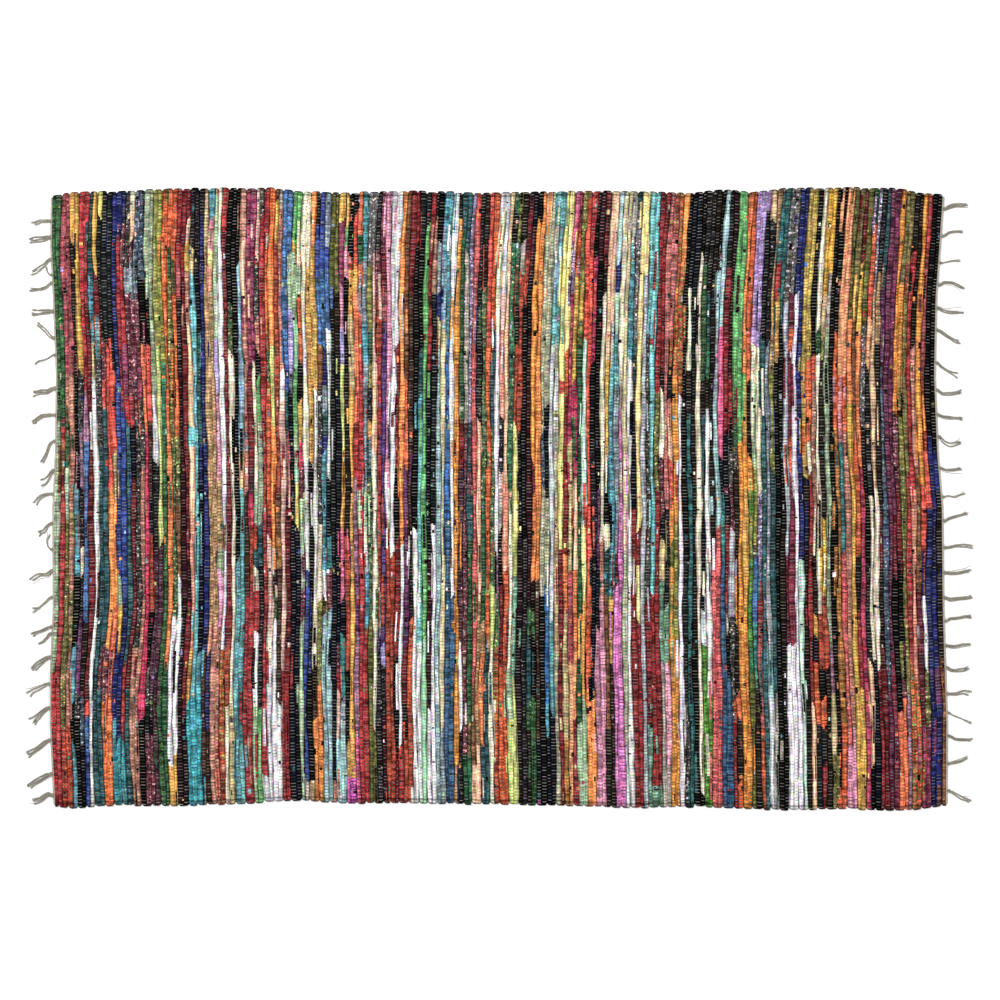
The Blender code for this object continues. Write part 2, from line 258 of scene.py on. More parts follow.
# The weaving chart as read: one row a pick, from the left end of the rug to the right one
WEAVING_CHART = (
    "LEAF 150 SAGE -340 CRIMSON",
    "LEAF 155 CRIMSON 110 BROWN 45 CRIMSON",
    "ROSE 240 DUSTY 150 LEAF 60 CELADON -40 OLIVE_PRINT -450 BRICK",
    "ROSE 240 DUSTY -440 BRICK",
    "MARIGOLD 500 BARK 230 BLACK 20 AQUA -150 BLACK -290 AQUA -400 BLACK -475 AQUA",
    "MARIGOLD 245 STONE_PRINT 130 MAUVE 20 DARK_PRINT -95 CREAM_PRINT -150 DARK_PRINT -230 PLUM -380 "
    "STONE_PRINT -430 BLACK",
    "CRIMSON 210 MAUVE 110 AZURE -240 BARK -380 SLATE_PRINT -480 INK",
    "CRIMSON 380 MAROON -400 TOMATO -425 AZURE -490 ROYAL",
    "PETROL 430 SEA_PRINT 300 KHAKI 235 WHITE -440 PALE_PRINT",
    "MUSTARD 440 MAROON 350 FLAME_PRINT 290 STONE_PRINT 100 PETROL",
    "YELLOW 550 CHARCOAL 310 ROSE_PRINT 210 PETROL -290 ROSE_PRINT -370 PETROL",
    "CHARCOAL 300 TOMATO 20 TANGERINE -290 ROSE_PRINT -400 ORANGE",
    "CHARCOAL 250 TOMATO 90 KHAKI 0 TANGERINE -210 CORAL -430 ORANGE",
    "NAVY 250 ROYAL -150 CELADON -210 MUSTARD -300 NAVY -430 AQUA -480 LAGOON",
    "NAVY 510 CRIMSON 170 ROYAL -200 NAVY -470 LAGOON",
    "NAVY 540 ROSE_PRINT 450 CRIMSON 300 BERRY 200 CRIMSON 150 PETROL -320 CRIMSON -470 SEA_PRINT",
    "STONE_PRINT 450 STEEL 400 ROSE_PRINT 200 CRIMSON 140 INK 40 MAROON -370 PETROL",
    "CREAM 560 PEACH 500 ROSE_PRINT 460 STEEL 390 ROSE_PRINT 150 STONE_PRINT -290 DUSTY",
    "SLATE_PRINT 400 ROSE_PRINT 290 BERRY 190 STONE_PRINT 60 DUSTY",
    "SLATE_PRINT 430 BLACK 300 CORAL 130 MAGENTA -430 BLACK",
    "SAGE 390 BLACK 300 TOMATO 150 COCOA 0 DARK_PRINT -70 BRICK -220 BLACK -330 STONE_PRINT -400 CHARCOAL "
    "-460 ROSE_PRINT",
    "SAGE 200 SILVER 70 DARK_PRINT -100 BERRY_PRINT -380 STONE_PRINT -430 BLACK -465 ROSE_PRINT",
    "OLIVE 300 LIME -90 BERRY_PRINT",
    "OLIVE 265 EMERALD 100 LEAF",
    "RUST 490 ORANGE 150 COPPER -330 FOREST",
    "RUST 490 FOREST 430 OLIVE_PRINT 100 GARDEN_PRINT -230 PEARL -520 MARIGOLD",
    "RUST 350 ORANGE 120 OLIVE_PRINT 20 BROWN -150 WHITE -500 MARIGOLD",
    "GARNET 460 ROSE 390 DARK_PRINT 240 WINE -220 INK -330 AUBERGINE",
    "MAROON 500 GARNET 250 MAROON -120 WINE -200 MAROON -430 AUBERGINE",
    "MAROON 545 BLUSH 500 MUSTARD 445 DUSTY 340 PEACH 140 TURQUOISE 100 PEACH -40 SALMON -290 GOLD_PRINT "
    "-395 LAGOON",
    "DARK_PRINT 490 KHAKI 440 TURQUOISE -380 LAGOON",
    "DARK_PRINT 440 INK 320 PETROL 100 INK -300 AQUA -380 LAGOON",
    "DARK_PRINT 550 NAVY -300 COCOA",
    "KHAKI 480 TAN_PRINT -250 SALMON -300 NAVY -450 COCOA",
    "AQUA 545 ROSEPINK 485 BUTTER 450 SALMON 405 TAN_PRINT -240 DUSTY",
    "SALMON 590 CELADON 310 LAVENDER 205 PINK 40 TAN_PRINT -100 SAGE -145 PINK -250 DUSTY",
    "CREAM 520 WHITE 60 PEARL -295 BRICK_PRINT -480 BRICK",
    "CRIMSON 520 MAROON -290 BRICK -405 CREAM",
    "BLACK 380 GARDEN_PRINT 285 CREAM -400 KHAKI",
    "BLACK -120 LAKE",
    "BLACK 455 SKY_PRINT 400 HAZE 90 TAN 20 LAKE -360 TEAL -480 LAKE",
    "DUSTY 500 PEACH 380 DUSTY 10 COCOA -190 CRIMSON",
    "BERRY 240 MAROON 60 BERRY_PRINT 10 MAGENTA -60 BRICK -160 CRIMSON",
    "BERRY 265 CREAM 20 CELADON -50 BRICK -90 PETROL -135 CREAM -180 CRIMSON -260 WHITE -410 CELADON",
    "BLUSH 470 STONE_PRINT 350 DUSTY 285 BLACK 235 GREEN 150 SAGE -50 PETROL -130 DARK_PRINT -410 GREEN",
    "STONE_PRINT 550 CRIMSON -540 SILVER",
    "CRIMSON 520 CREAM 485 ORANGE 340 BROWN 285 GARDEN_PRINT 225 RUST -30 MAROON -75 BLUSH -255 CREAM "
    "-330 SILVER",
    "ORANGE 470 TANGERINE 300 LIME 140 TANGERINE -140 DARK_PRINT -180 LEAF -235 WHITE",
    "BROWN 580 MUSTARD 500 BRICK 0 BROWN -75 BRONZE -135 COCOA -400 WHITE",
    "STONE 565 DUSTY 390 SALMON 250 WHITE 190 BLUSH -335 GARNET",
    "AZURE 260 ROYAL 210 PETROL 125 ROSE 20 MAROON -310 GARNET",
    "AZURE 475 CELADON 370 LILAC 250 STEEL 210 INK",
    "GREEN 500 MUSTARD 480 CELADON 350 MINT 250 GREEN 130 CELADON 60 MINT 30 YELLOW -55 INK",
    "GREEN 480 SALMON 455 CELADON 395 RUST 265 BLACK 190 MUSTARD 110 MAGENTA 60 ROSE_PRINT 0 CELADON -110 "
    "ROSE_PRINT -150 SAGE -175 ROSE_PRINT -240 CELADON",
    "CREAM_PRINT 460 CREAM 340 WHITE 240 CREAM 75 PALE_PRINT -140 ROYAL -550 STONE",
    "CREAM_PRINT 450 GOLD_PRINT 70 BLACK -550 KHAKI",
    "TANGERINE 490 GOLD_PRINT 210 WHITE 170 PALE_PRINT -200 CREAM_PRINT -330 COCOA -430 TANGERINE",
    "BARK 510 ROYAL 430 AZURE 300 BROWN 215 STONE_PRINT -50 CREAM_PRINT -200 OLIVE_PRINT -360 COPPER -480 "
    "AMBER",
    "ROYAL 440 AZURE 295 NAVY 220 STEEL 170 PETROL 125 NAVY 90 SEA_PRINT -15 AQUA -140 WHITE -195 COCOA "
    "-225 SEAFOAM",
    "STEEL 490 ROYAL 450 AZURE 330 SILVER 40 INK -75 TEAL -140 ROSE_PRINT -215 FOAM",
    "MOSS 400 BARK 300 CHARCOAL -145 INK -550 DUSTY",
    "MOSS 400 BARK 250 INK -285 ROSE_PRINT -340 CRIMSON -375 BLUSH -470 FOAM",
    "MARIGOLD 540 BERRY 415 PINK 330 LILAC 262 LIME 95 MARIGOLD -60 FUCHSIA -195 INK -268 TEAL -390 STEEL "
    "-460 FOAM",
    "MARIGOLD 530 GREEN 490 PINK 430 BLACK 250 BARK -75 BRICK -335 BLACK -475 GOLD_PRINT -545 ORCHID",
    "BLACK 470 BRICK 445 MARIGOLD 355 KHAKI 215 MARIGOLD 0 GOLD_PRINT -165 MARIGOLD -470 GOLD_PRINT -545 "
    "ORCHID",
    "BLACK 550 TOMATO 455 MARIGOLD 400 CORAL 150 CRIMSON 40 MAUVE -150 PLUM -260 MAUVE -465 FUCHSIA",
    "CORAL 515 FOREST 460 CORAL 350 TOMATO 265 CRIMSON",
    "SEA_PRINT 465 STEEL 340 AQUA 265 STEEL 20 CELADON -55 CREAM -95 SILVER -145 AQUA -255 CRIMSON",
    "GREY_PRINT 455 OLIVE 330 FOREST 265 OLIVE 215 DARK_PRINT 150 GOLD_PRINT 110 PETROL 40 GARDEN_PRINT "
    "-235 MOSS",
    "GREY_PRINT 475 BLUSH 245 PEACH 90 CREAM -450 MOSS",
    "DARK_PRINT 480 ROSE_PRINT 400 BRICK 290 CRIMSON 0 BRICK -250 DARK_PRINT",
    "ROSE_PRINT 485 MAROON 400 ROSE 345 VIOLET -285 LILAC -325 DARK_PRINT -420 WINE",
    "PINK -40 BRICK",
    "SILVER 280 WHITE -110 BRICK",
    "SILVER 300 MAROON 60 BLACK -80 GARNET -310 BLACK -510 MAROON",
    "TANGERINE -90 WHITE -480 CRIMSON",
    "BROWN 230 CORAL 60 PLUM -290 MAROON -400 BARK -470 BRICK",
    "GARNET 490 MAROON 400 COCOA -60 BARK -235 RUST -400 BRICK",
    "GARNET 500 BLACK -60 WHITE",
    "CHARCOAL 510 BLACK 290 PETROL 200 AQUA 90 TURQUOISE -280 SILVER",
    "CHARCOAL 530 GREEN -270 MINT",
    "GARNET 250 INK -110 WINE -410 SILVER",
    "CHARCOAL 545 DUSTY 400 CHARCOAL -50 WHITE",
    "BLACK 500 STEEL 400 NAVY 350 KHAKI 290 SEAFOAM",
    "AQUA 460 SKY 330 SAND -450 STEEL",
    "AQUA 310 COBALT -40 DENIM",
    "WHITE -190 DENIM",
    "CHARCOAL 545 AMBER",
    "PETROL 520 FOREST 150 MAROON 60 BERRY_PRINT -280 WHITE -450 DARK_PRINT",
    "PETROL 480 STONE 150 ROSE_PRINT -500 FOREST",
    "LILAC_PRINT 150 PETROL -80 FOREST -490 EMERALD",
    "TOMATO 540 WATERMELON -365 BROWN -520 PEACH",
    "DARK_PRINT 150 PEACH -200 TAN_PRINT -480 PEACH",
    "BARK 410 GARDEN_PRINT 0 FOREST -240 TAN_PRINT -300 COPPER -480 PETROL",
    "TOMATO 300 RUST -280 PETROL",
    "RUST 330 PETROL 130 GARDEN_PRINT -170 LIME -290 CREAM",
    "SILVER 560 CREAM 330 WHITE -110 MAUVE -190 GARDEN_PRINT -290 BRICK_PRINT -430 BRICK",
    "SILVER 400 BLUSH 330 SALMON_PRINT 160 DARK_PRINT 50 STONE -60 BLACK -170 MAROON -330 RUST",
    "PEACH_PRINT 150 PEACH 30 SALMON_PRINT -140 RUST",
    "FERN_PRINT 560 BLACK 500 FERN_PRINT -30 CREAM -330 CELADON -430 LIME",
    "OLIVE_PRINT 500 FERN_PRINT 380 BARK 300 BRICK 145 LEMON -60 LIME -150 EUCALYPTUS -350 LIME",
    "BARK 500 STONE 440 BRICK 130 INK -90 AUBERGINE",
    "MAROON 470 BRICK 380 BLACK -80 DARK_PRINT",
    "INK 400 BLACK 320 WINE -210 LEAF -270 PETROL -400 LEAF -450 BARK",
    "BLACK 540 AMBER 70 MAROON 10 COPPER -160 BARK -220 LEAF -270 BLACK -390 LEAF",
    "TANGERINE -160 COCOA -470 INK",
    "PEACH 560 LINEN 130 SLATE_PRINT 20 LINEN -190 BLACK",
    "LINEN 180 INK 0 LINEN -170 COBALT -400 SEA_PRINT -460 INK",
    "LAKE 530 SILVER 460 SKY 390 LAKE 300 SILVER -240 LAKE -420 INK",
    "LAKE 490 SKY 400 LAKE 300 LINEN 0 TAN -300 LINEN",
    "LEMON 230 TOMATO 205 LEMON -100 GARNET",
    "BUTTER 290 RUST 200 GARNET -110 COPPER -220 KHAKI -470 BRONZE",
    "FUCHSIA 500 LILAC_PRINT 400 RASPBERRY 110 KHAKI -140 ROSE -320 APRICOT",
    "RASPBERRY 520 RUST 430 MUSTARD 230 RASPBERRY 40 PEACH -140 COPPER -300 APRICOT -430 CRIMSON",
    "OLIVE_PRINT 300 FOREST -440 CELADON",
    "TOMATO 310 MINT_PRINT -50 BUTTER -200 MARIGOLD -390 CELADON",
    "CRIMSON 480 TOMATO -150 RUST -370 TANGERINE",
    "BLACK 470 RASPBERRY 265 BLACK 120 DARK_PRINT -150 INK -390 TANGERINE",
    "WINE 460 BLACK 20 PLUM -130 INK -255 PINK",
    "MAROON 450 BARK 400 CREAM -80 DUSTY -200 PINK",
    "PEACH_PRINT 270 MUSTARD 75 BLACK -50 CREAM -100 PETROL -190 BROWN -450 BARK",
    "PEACH_PRINT 340 STEEL 310 TURQUOISE 190 AQUA -190 GOLD_PRINT -320 BARK",
    "FROST 460 NAVY 400 MINT_PRINT 320 AQUA 220 STEEL -105 MAROON -170 MALLOW",
    "CREAM 215 ORCHID 150 MALLOW",
    "SAND -100 LINEN -480 SILVER",
    "STONE 500 SEA_PRINT 270 WHITE",
    "PETROL 560 GREY_PRINT 300 PETROL 230 INK -20 GARNET",
    "BUTTER -60 GARNET -130 BUTTER -240 GARNET",
    "BUTTER 440 PEWTER",
    "TURQUOISE 320 STONE_PRINT -200 GARNET -440 EUCALYPTUS",
    "TURQUOISE -185 GARNET -560 EUCALYPTUS",
    "GARNET 205 OLIVE_PRINT 20 GARNET -560 EUCALYPTUS",
    "GARNET 250 BARK 210 CREAM_PRINT 80 ROSE_PRINT -30 CHARCOAL -80 KHAKI -160 EUCALYPTUS -330 STONE",
    "DUSKROSE -20 DARK_PRINT -210 EUCALYPTUS -320 PINK_PRINT -520 STONE",
    "DUSKROSE 310 CHARCOAL 190 PEACH 75 TOMATO -10 TANGERINE -85 MOSS -135 AMBER",
    "BRICK_PRINT 240 AMBER -45 OLIVE -290 AMBER",
    "TANGERINE 460 BRICK_PRINT 200 PEARL",
    "BLACK -100 CHARCOAL -400 STONE_PRINT",
    "INK 410 CREAM 250 BARK 160 DEEPTEAL",
    "INK 440 CHARCOAL 180 BARK -300 BLACK",
    "BLACK 475 IVORY -575 BLACK",
    "DARK_PRINT 455 LEAF 230 BARK 160 PETROL -20 INK -220 SILVER -285 GRASS",
    "DARK_PRINT 400 PETROL 300 EMERALD 235 BARK 175 WHITE -385 GRASS",
    "BARK -110 WATERMELON",
    "BLACK 460 FOAM 330 STEEL 200 FOAM -55 WATERMELON",
    "FOAM 335 FUCHSIA 80 INK 10 TEAL -110 DENIM",
    "CHARCOAL 450 GARNET 130 INK -50 GARNET -230 STONE -260 BLACK -350 DENIM",
    "WINE 240 GARNET 130 STONE_PRINT 30 ROSE_PRINT -60 PEWTER -230 STONE_PRINT -430 GARNET",
    "GREEN 200 LEAF 95 STONE_PRINT 50 BARK -380 RUST -430 BARK -550 RUST",
    "GREEN 110 AMBER",
    "COPPER 240 MARIGOLD 115 AMBER 20 MARIGOLD -230 AMBER",
    "RUST 230 BARK 80 AMBER 15 GRASS -290 EMERALD -340 MOSS",
    "WISTERIA 300 CREAM_PRINT 230 CELADON 60 OLIVE -105 AZURE -240 TEAL -350 BARK",
    "WISTERIA 295 CREAM 10 LILAC_PRINT -160 GARNET -230 ROSE -450 FLAME_PRINT",
    "WISTERIA 560 CHARCOAL 310 DEEPTEAL",
    "TAN 540 DARK_PRINT 300 STEEL -100 PEWTER -290 FOAM -390 SILVER",
    "TAN_PRINT 250 OLIVE_PRINT 55 PETROL -380 STONE",
    "DEEPTEAL 460 CRIMSON 390 GOLD_PRINT 270 BLACK",
    "DEEPTEAL 340 BLACK -60 BARK -285 BLACK",
    "GREY_PRINT 380 PEWTER -110 BURGUNDY -285 WHITE",
    "GREY_PRINT 400 BURGUNDY 330 RUST 290 BURGUNDY 120 RUST 50 BURGUNDY -285 WHITE",
    "NAVY 400 PEARL",
    "NAVY -120 MINT_PRINT",
    "MOSS_PRINT 40 BARK",
    "MOSS_PRINT 270 FLAME_PRINT 110 CREAM_PRINT 50 GARNET -400 PEACH",
    "BLACK 280 BRICK 230 DUSTY -50 BARK -230 MUSTARD -270 INK -320 RUST -440 CHARCOAL",
    "IVORY 330 LEAF 280 IVORY -225 BRICK -330 BLACK -390 RUST -450 CHARCOAL -510 GARNET",
    "GOLD 395 TAN 320 OLIVE_PRINT 270 BARK -40 GOLD -190 BRICK -330 BARK",
    "GOLD 440 STONE 330 SAGE -290 MAUVE -380 KHAKI -500 OLIVE_PRINT",
    "BLACK -560 RUST",
    "BLACK 320 RUST 140 BRONZE -440 RUST",
    "APRICOT 240 ROSEPINK 110 TEAL -105 WATERMELON -480 PINK",
    "APRICOT 240 RUST 130 DUSTY -450 PINK",
    "MOSS 350 COPPER 185 MUSTARD",
    "BRONZEGREEN 350 BROWN 120 RUST -110 BARK -220 GARNET -370 MUSTARD",
    "MAROON 460 MUSTARD 320 COPPER 60 RASPBERRY",
    "MOSS 340 GREY_PRINT 140 BARK 60 BLACK -130 DARK_PRINT -320 PEACH -520 BLACK",
    "FOREST 540 RUST 420 TOMATO 350 APRICOT 255 CHARCOAL 5 CREAM_PRINT -315 INK",
    "LILAC_PRINT 410 TAN 20 IVORY -330 MAROON -440 GARNET",
    "DARK_PRINT 440 TAN_PRINT 300 BARK -30 MAROON -140 BARK -290 MAROON",
    "PETROL 410 PLUM 270 SLATE_PRINT -370 CLARET",
    "CLARET -300 BURGUNDY",
    "CLARET -30 MAROON -150 BLACK -415 CORAL",
    "AMBER 165 ROSE_PRINT 20 MAROON -120 BLACK -280 ROSE_PRINT -390 CORAL",
    "BRONZEGREEN 420 AMBER 200 BARK 160 OLIVE_PRINT -380 MAUVE",
    "BRONZEGREEN 50 CRIMSON -320 COPPER -380 BRICK_PRINT",
    "BARK 480 CRIMSON 20 SALMON -350 BRICK_PRINT",
    "BARK 295 DUSTY 60 BROWN -180 BURGUNDY -440 BERRY",
    "AMBER 20 TOMATO -170 PEARL -335 OLIVE_PRINT -440 BERRY",
    "CRIMSON 480 ROSE 240 BRICK 90 TOMATO -20 NAVY",
    "BLACK 125 NAVY -330 PLUM -400 NAVY",
    "BLACK 90 NAVY 15 BARK -310 BROWN",
)
WEAVING_ORDER = tuple(Pick.read(row) for row in WEAVING_CHART)


@dataclass(frozen=True)
class Outline:
    """The rug's four edges as it lies, in mm: its ends draw in and its long edges wander.

    Attributes:
        across: places across the rug.
        left: X of the left end at each.
        right: X of the right end at each.
        along: places along the rug.
        near: Y of the near long edge at each.
        far: Y of the far long edge at each.
    """

    across: tuple[int, ...] = (-605, -440, -345, -216, -20, 88, 240, 392, 488, 605)
    left: tuple[int, ...] = (-865, -873, -873, -867, -868, -863, -861, -867, -872, -871)
    right: tuple[int, ...] = (878, 879, 876, 872, 870, 861, 855, 858, 865, 873)
    along: tuple[int, ...] = (
        -880, -828, -731, -634, -439, -380, -303, -147, -30, 126, 262, 379, 457, 496, 564, 671, 749, 808, 880,
    )
    near: tuple[int, ...] = (
        -598, -603, -597, -599, -591, -587, -593, -593, -595, -597, -603, -600, -603, -603, -608, -603, -607,
        -607, -597,
    )
    far: tuple[int, ...] = (
        588, 596, 599, 604, 605, 599, 595, 599, 595, 599, 599, 595, 602, 596, 604, 605, 605, 599, 590,
    )

    def end(self, y: Array | float, side: int) -> Array:
        """X of the left end (-1) or the right one (1) at a place across the rug, in mm."""
        return np.interp(y, self.across, self.left if side < 0 else self.right)

    def edge(self, x: Array | float, side: int) -> Array:
        """Y of the near long edge (-1) or the far one (1) at a place along the rug, in mm."""
        return np.interp(x, self.along, self.near if side < 0 else self.far)


OUTLINE = Outline()


def add_node(
    tree: Tree, kind: str, inputs: dict[int | str, Any] | None = None, **settings: Any
) -> bpy.types.Node:
    """Adds a node with its settings and links.

    Args:
        tree: the material's node tree.
        kind: the node's type.
        inputs: a value or an output to link for each input that is set.
        settings: the node's own settings.

    Returns:
        The node.
    """
    node = tree.nodes.new(kind)
    for name, value in settings.items():
        setattr(node, name, value)
    for key, value in (inputs or {}).items():
        if isinstance(value, Socket):
            tree.links.new(value, node.inputs[key])
        else:
            node.inputs[key].default_value = value
    return node


def start_material(name: str, finish: dict[str, Any]) -> tuple[bpy.types.Material, Tree, Any]:
    """Starts a material.

    Args:
        name: its name.
        finish: the constant values of its shader's own inputs.

    Returns:
        The material, its node tree and its shader's inputs.
    """
    material = bpy.data.materials.new(name)
    material.use_nodes = True
    inputs = material.node_tree.nodes["Principled BSDF"].inputs
    for key, value in finish.items():
        inputs[key].default_value = value
    return material, material.node_tree, inputs


def link_object(name: str, mesh: bpy.types.Mesh, material: bpy.types.Material) -> bpy.types.Object:
    """Puts a finished mesh in the scene.

    Args:
        name: the piece's name.
        mesh: its mesh.
        material: its finish.

    Returns:
        The piece.
    """
    mesh.materials.append(material)
    piece = bpy.data.objects.new(name, mesh)
    bpy.context.scene.collection.objects.link(piece)
    return piece


@dataclass(frozen=True)
class Lumps:
    """Soft lumps of painted shade on the weave, and of the worn dye's uneven colour.

    Attributes:
        width: a lump's size along the rug, in mm.
        length: its size across the rug, in mm.
        detail: how much finer noise lies on it.
        reach: how far from its middle the noise is used, each way.
        dark: the shade at its low end.
        light: the shade at its high end.
    """

    width: float
    length: float
    detail: float
    reach: float
    dark: float
    light: float


class WeaveNodes:
    """Nodes that work at the weave's own places, where U counts picks and V counts warp ends.

    Attributes:
        end: the place in warp ends.
        lane: the pick's number.
        aside: how far from the pick's middle, from 0 to 0.5.
        turn: the warp ends that pass over this pick, counted.
        away: how far from the nearest of them, in mm.
    """

    def __init__(self, tree: Tree) -> None:
        """Finds the place on the weave.

        Args:
            tree: the material's node tree.
        """
        self.tree = tree
        self.place = add_node(tree, "ShaderNodeUVMap", uv_map="weave").outputs[0]
        axes = add_node(tree, "ShaderNodeSeparateXYZ", {0: self.place})
        self.end = axes.outputs[1]
        self.lane = self.maths("FLOOR", axes.outputs[0])
        self.aside = self.maths("ABSOLUTE", self.maths("SUBTRACT", self.maths("FRACT", axes.outputs[0]), 0.5))
        odd = self.maths("MODULO", self.lane, 2.0)
        self.turn = self.product(self.maths("ADD", self.end, odd), 0.5)
        self.away = self.product(self.maths("PINGPONG", self.turn, 0.5), 2.0 * WEAVE.warp_pitch)

    def maths(self, operation: str, *values: Any) -> Socket:
        """One sum of values and sockets."""
        return add_node(self.tree, "ShaderNodeMath", dict(enumerate(values)), operation=operation).outputs[0]

    def product(self, first: Any, *others: Any) -> Socket:
        """The product of values and sockets."""
        for other in others:
            first = self.maths("MULTIPLY", first, other)
        return first

    def fade(self, value: Any, low: float, high: float, at_low: Any, at_high: Any) -> Socket:
        """Fades smoothly from one value to another between two places."""
        inputs = {"Value": value, "From Min": low, "From Max": high, "To Min": at_low, "To Max": at_high}
        return add_node(self.tree, "ShaderNodeMapRange", inputs, interpolation_type="SMOOTHSTEP").outputs[0]

    def noise(self, width: float, length: float, detail: float) -> bpy.types.Node:
        """Noise whose lumps have a width along the rug and a length across it, in mm."""
        scale = (WEAVE.pick_pitch / width, WEAVE.warp_pitch / length, 1.0)
        spot = add_node(self.tree, "ShaderNodeVectorMath", {0: self.place, 1: scale}, operation="MULTIPLY")
        inputs = {"Vector": spot.outputs[0], "Scale": 1.0, "Detail": detail}
        return add_node(self.tree, "ShaderNodeTexNoise", inputs)

    def lumps(self, lumps: Lumps) -> Socket:
        """A shade that comes and goes in lumps."""
        noise = self.noise(lumps.width, lumps.length, lumps.detail).outputs[0]
        return self.fade(noise, 0.5 - lumps.reach, 0.5 + lumps.reach, lumps.dark, lumps.light)

    def chance(self, counted: str, salt: float) -> Socket:
        """An even chance from 0 to 1 for each bead (FLOOR) or for each warp end's dash (ROUND)."""
        inputs = {0: self.lane, 1: self.maths(counted, self.turn), 2: salt}
        spot = add_node(self.tree, "ShaderNodeCombineXYZ", inputs)
        even = add_node(self.tree, "ShaderNodeTexWhiteNoise", {0: spot.outputs[0]}, noise_dimensions="3D")
        return even.outputs[0]


@dataclass(frozen=True)
class WovenRag:
    """Torn cotton sheeting woven as thick weft under cotton warp yarn.

    It is matt and soft: folds run along each rag, its face has a short nap, and where a warp end
    passes over it the yarn shows as a short pale dash in a pinch. The shade and light of its folds,
    creases, grooves, pinches and long edges are painted into its colour.

    Attributes:
        roughness: how matt it is.
        specular: how strongly it shines at all.
        yarn: the warp yarn's colour.
        yarn_width: how wide the yarn shows, in mm.
        stain: the share of the cloth's colour in the yarn's.
        folds: the painted shade and light of the folds along each rag.
        twists: the shade where the rag turns over.
        shallows: how dark the painted shade in the groove between two picks is.
        crumple: the shade of the small creases.
        worn_dye: how unevenly each colour of the dye has worn.
        specks: the print's specks, their width and length in mm and their detail.
        nap: how high the nap stands, in mm.
        nap_size: the nap's lumps, their width and length in mm and their detail.
        relief: how strong the bump is.
    """

    roughness: float = 0.95
    specular: float = 0.02

    yarn: str = "99958d"
    yarn_width: float = 1.25
    stain: float = 0.28

    folds: Lumps = Lumps(2.4, 75.0, 2.0, 0.26, 0.40, 1.52)
    twists: Lumps = Lumps(8.0, 34.0, 1.0, 0.25, 0.68, 1.25)
    shallows: Lumps = Lumps(9.0, 36.0, 1.0, 0.20, 0.10, 0.60)
    crumple: Lumps = Lumps(3.4, 3.6, 2.0, 0.26, 0.40, 1.55)
    worn_dye: Lumps = Lumps(3.0, 9.0, 1.0, 0.20, 0.76, 1.24)
    specks: tuple[float, float, float] = (4.2, 5.6, 1.0)

    nap: float = 0.35
    nap_size: tuple[float, float, float] = (0.9, 1.1, 3.0)
    relief: float = 0.55

    def dash(self, nodes: WeaveNodes, shown: Socket) -> Socket:
        """Where the warp yarn shows, on the crown of a pick and more or less worn in."""
        half = self.yarn_width / 2
        on_yarn = nodes.fade(nodes.away, half * 0.6, half * 1.2, 1.0, 0.0)
        on_crown = nodes.fade(nodes.aside, 0.30, 0.46, 1.0, 0.0)
        worn = nodes.fade(nodes.chance("ROUND", 0.3), 0.1, 0.9, 0.1, 1.0)
        return nodes.product(on_yarn, on_crown, worn, shown)

    def long_shade(self, nodes: WeaveNodes, light: Socket) -> Socket:
        """The painted shade along a rag: its folds, the groove beside it, the pull and the rim at a long
        edge.

        Args:
            nodes: the weave's nodes.
            light: how light the rag is.

        Returns:
            The shade.
        """
        seam = add_node(nodes.tree, "ShaderNodeAttribute", attribute_name="seam").outputs["Fac"]
        # Painted shade: the groove's shade reaches further onto a rag where another rag lies beside it, more
        # on light rags.
        rolled = nodes.product(seam, nodes.fade(light, 0.1, 0.7, 0.03, 0.08))
        # Painted shade in the groove between two picks, darker where two different rags meet.
        depth = nodes.maths("ADD", nodes.lumps(self.shallows), nodes.fade(seam, 0.0, 1.0, 0.35, -0.02))
        groove = nodes.fade(nodes.maths("ADD", nodes.aside, rolled), 0.27, 0.52, 1.0, depth)
        inward = nodes.maths("MINIMUM", nodes.end, nodes.maths("SUBTRACT", float(WEAVE.warp_ends), nodes.end))
        from_turn = nodes.maths("ABSOLUTE", nodes.maths("SUBTRACT", inward, WEAVE.tight_end))
        # Painted shade in the groove where the yarn pulls the turns tight.
        tight = nodes.fade(from_turn, 0.2, 1.0, 0.35, 1.0)
        # Painted shade on the outermost rows at each long edge.
        rim = nodes.fade(inward, 0.0, 2.2, 0.22, 1.0)
        # Painted shade and light of the folds and twists, times the painted groove and edge shade.
        return nodes.product(nodes.lumps(self.folds), nodes.lumps(self.twists), groove, tight, rim)

    def fine_shade(self, nodes: WeaveNodes, light: Socket) -> Socket:
        """The shade from bead to bead, weaker on light rags, whose beads run into one streak.

        Args:
            nodes: the weave's nodes.
            light: how light the rag is.

        Returns:
            The shade.
        """
        # Painted shade and light that differ from bead to bead.
        bead = nodes.fade(nodes.chance("FLOOR", 0.7), 0.0, 1.0, 0.50, 1.40)
        # Painted shade in the pinch under each warp end, deeper at some ends than at others.
        depth = nodes.fade(nodes.chance("ROUND", 1.9), 0.0, 1.0, 0.12, 0.75)
        pinch = nodes.maths("MAXIMUM", nodes.fade(nodes.away, 0.45, 1.8, 0.0, 1.0), depth)
        fine = nodes.product(nodes.lumps(self.crumple), bead, pinch)
        fine = nodes.maths("POWER", fine, nodes.fade(light, 0.04, 0.6, 1.1, 0.30))
        dark, pale = nodes.fade(light, 0.006, 0.05, 0.45, 1.22), nodes.fade(light, 0.35, 0.9, 1.0, 0.8)
        return nodes.product(fine, dark, pale)

    def printed(self, nodes: WeaveNodes, ground: Socket) -> Socket:
        """The rag's colour with the specks of its print."""
        figure = add_node(nodes.tree, "ShaderNodeAttribute", attribute_name="figure")
        level = nodes.fade(figure.outputs["Alpha"], 0.0, 1.0, 0.82, 0.18)
        speck = nodes.maths("GREATER_THAN", nodes.noise(*self.specks).outputs[0], level)
        shown = nodes.product(speck, nodes.maths("GREATER_THAN", figure.outputs["Alpha"], 0.01))
        inputs = {0: shown, 6: ground, 7: figure.outputs["Color"]}
        return add_node(nodes.tree, "ShaderNodeMix", inputs, data_type="RGBA").outputs[2]

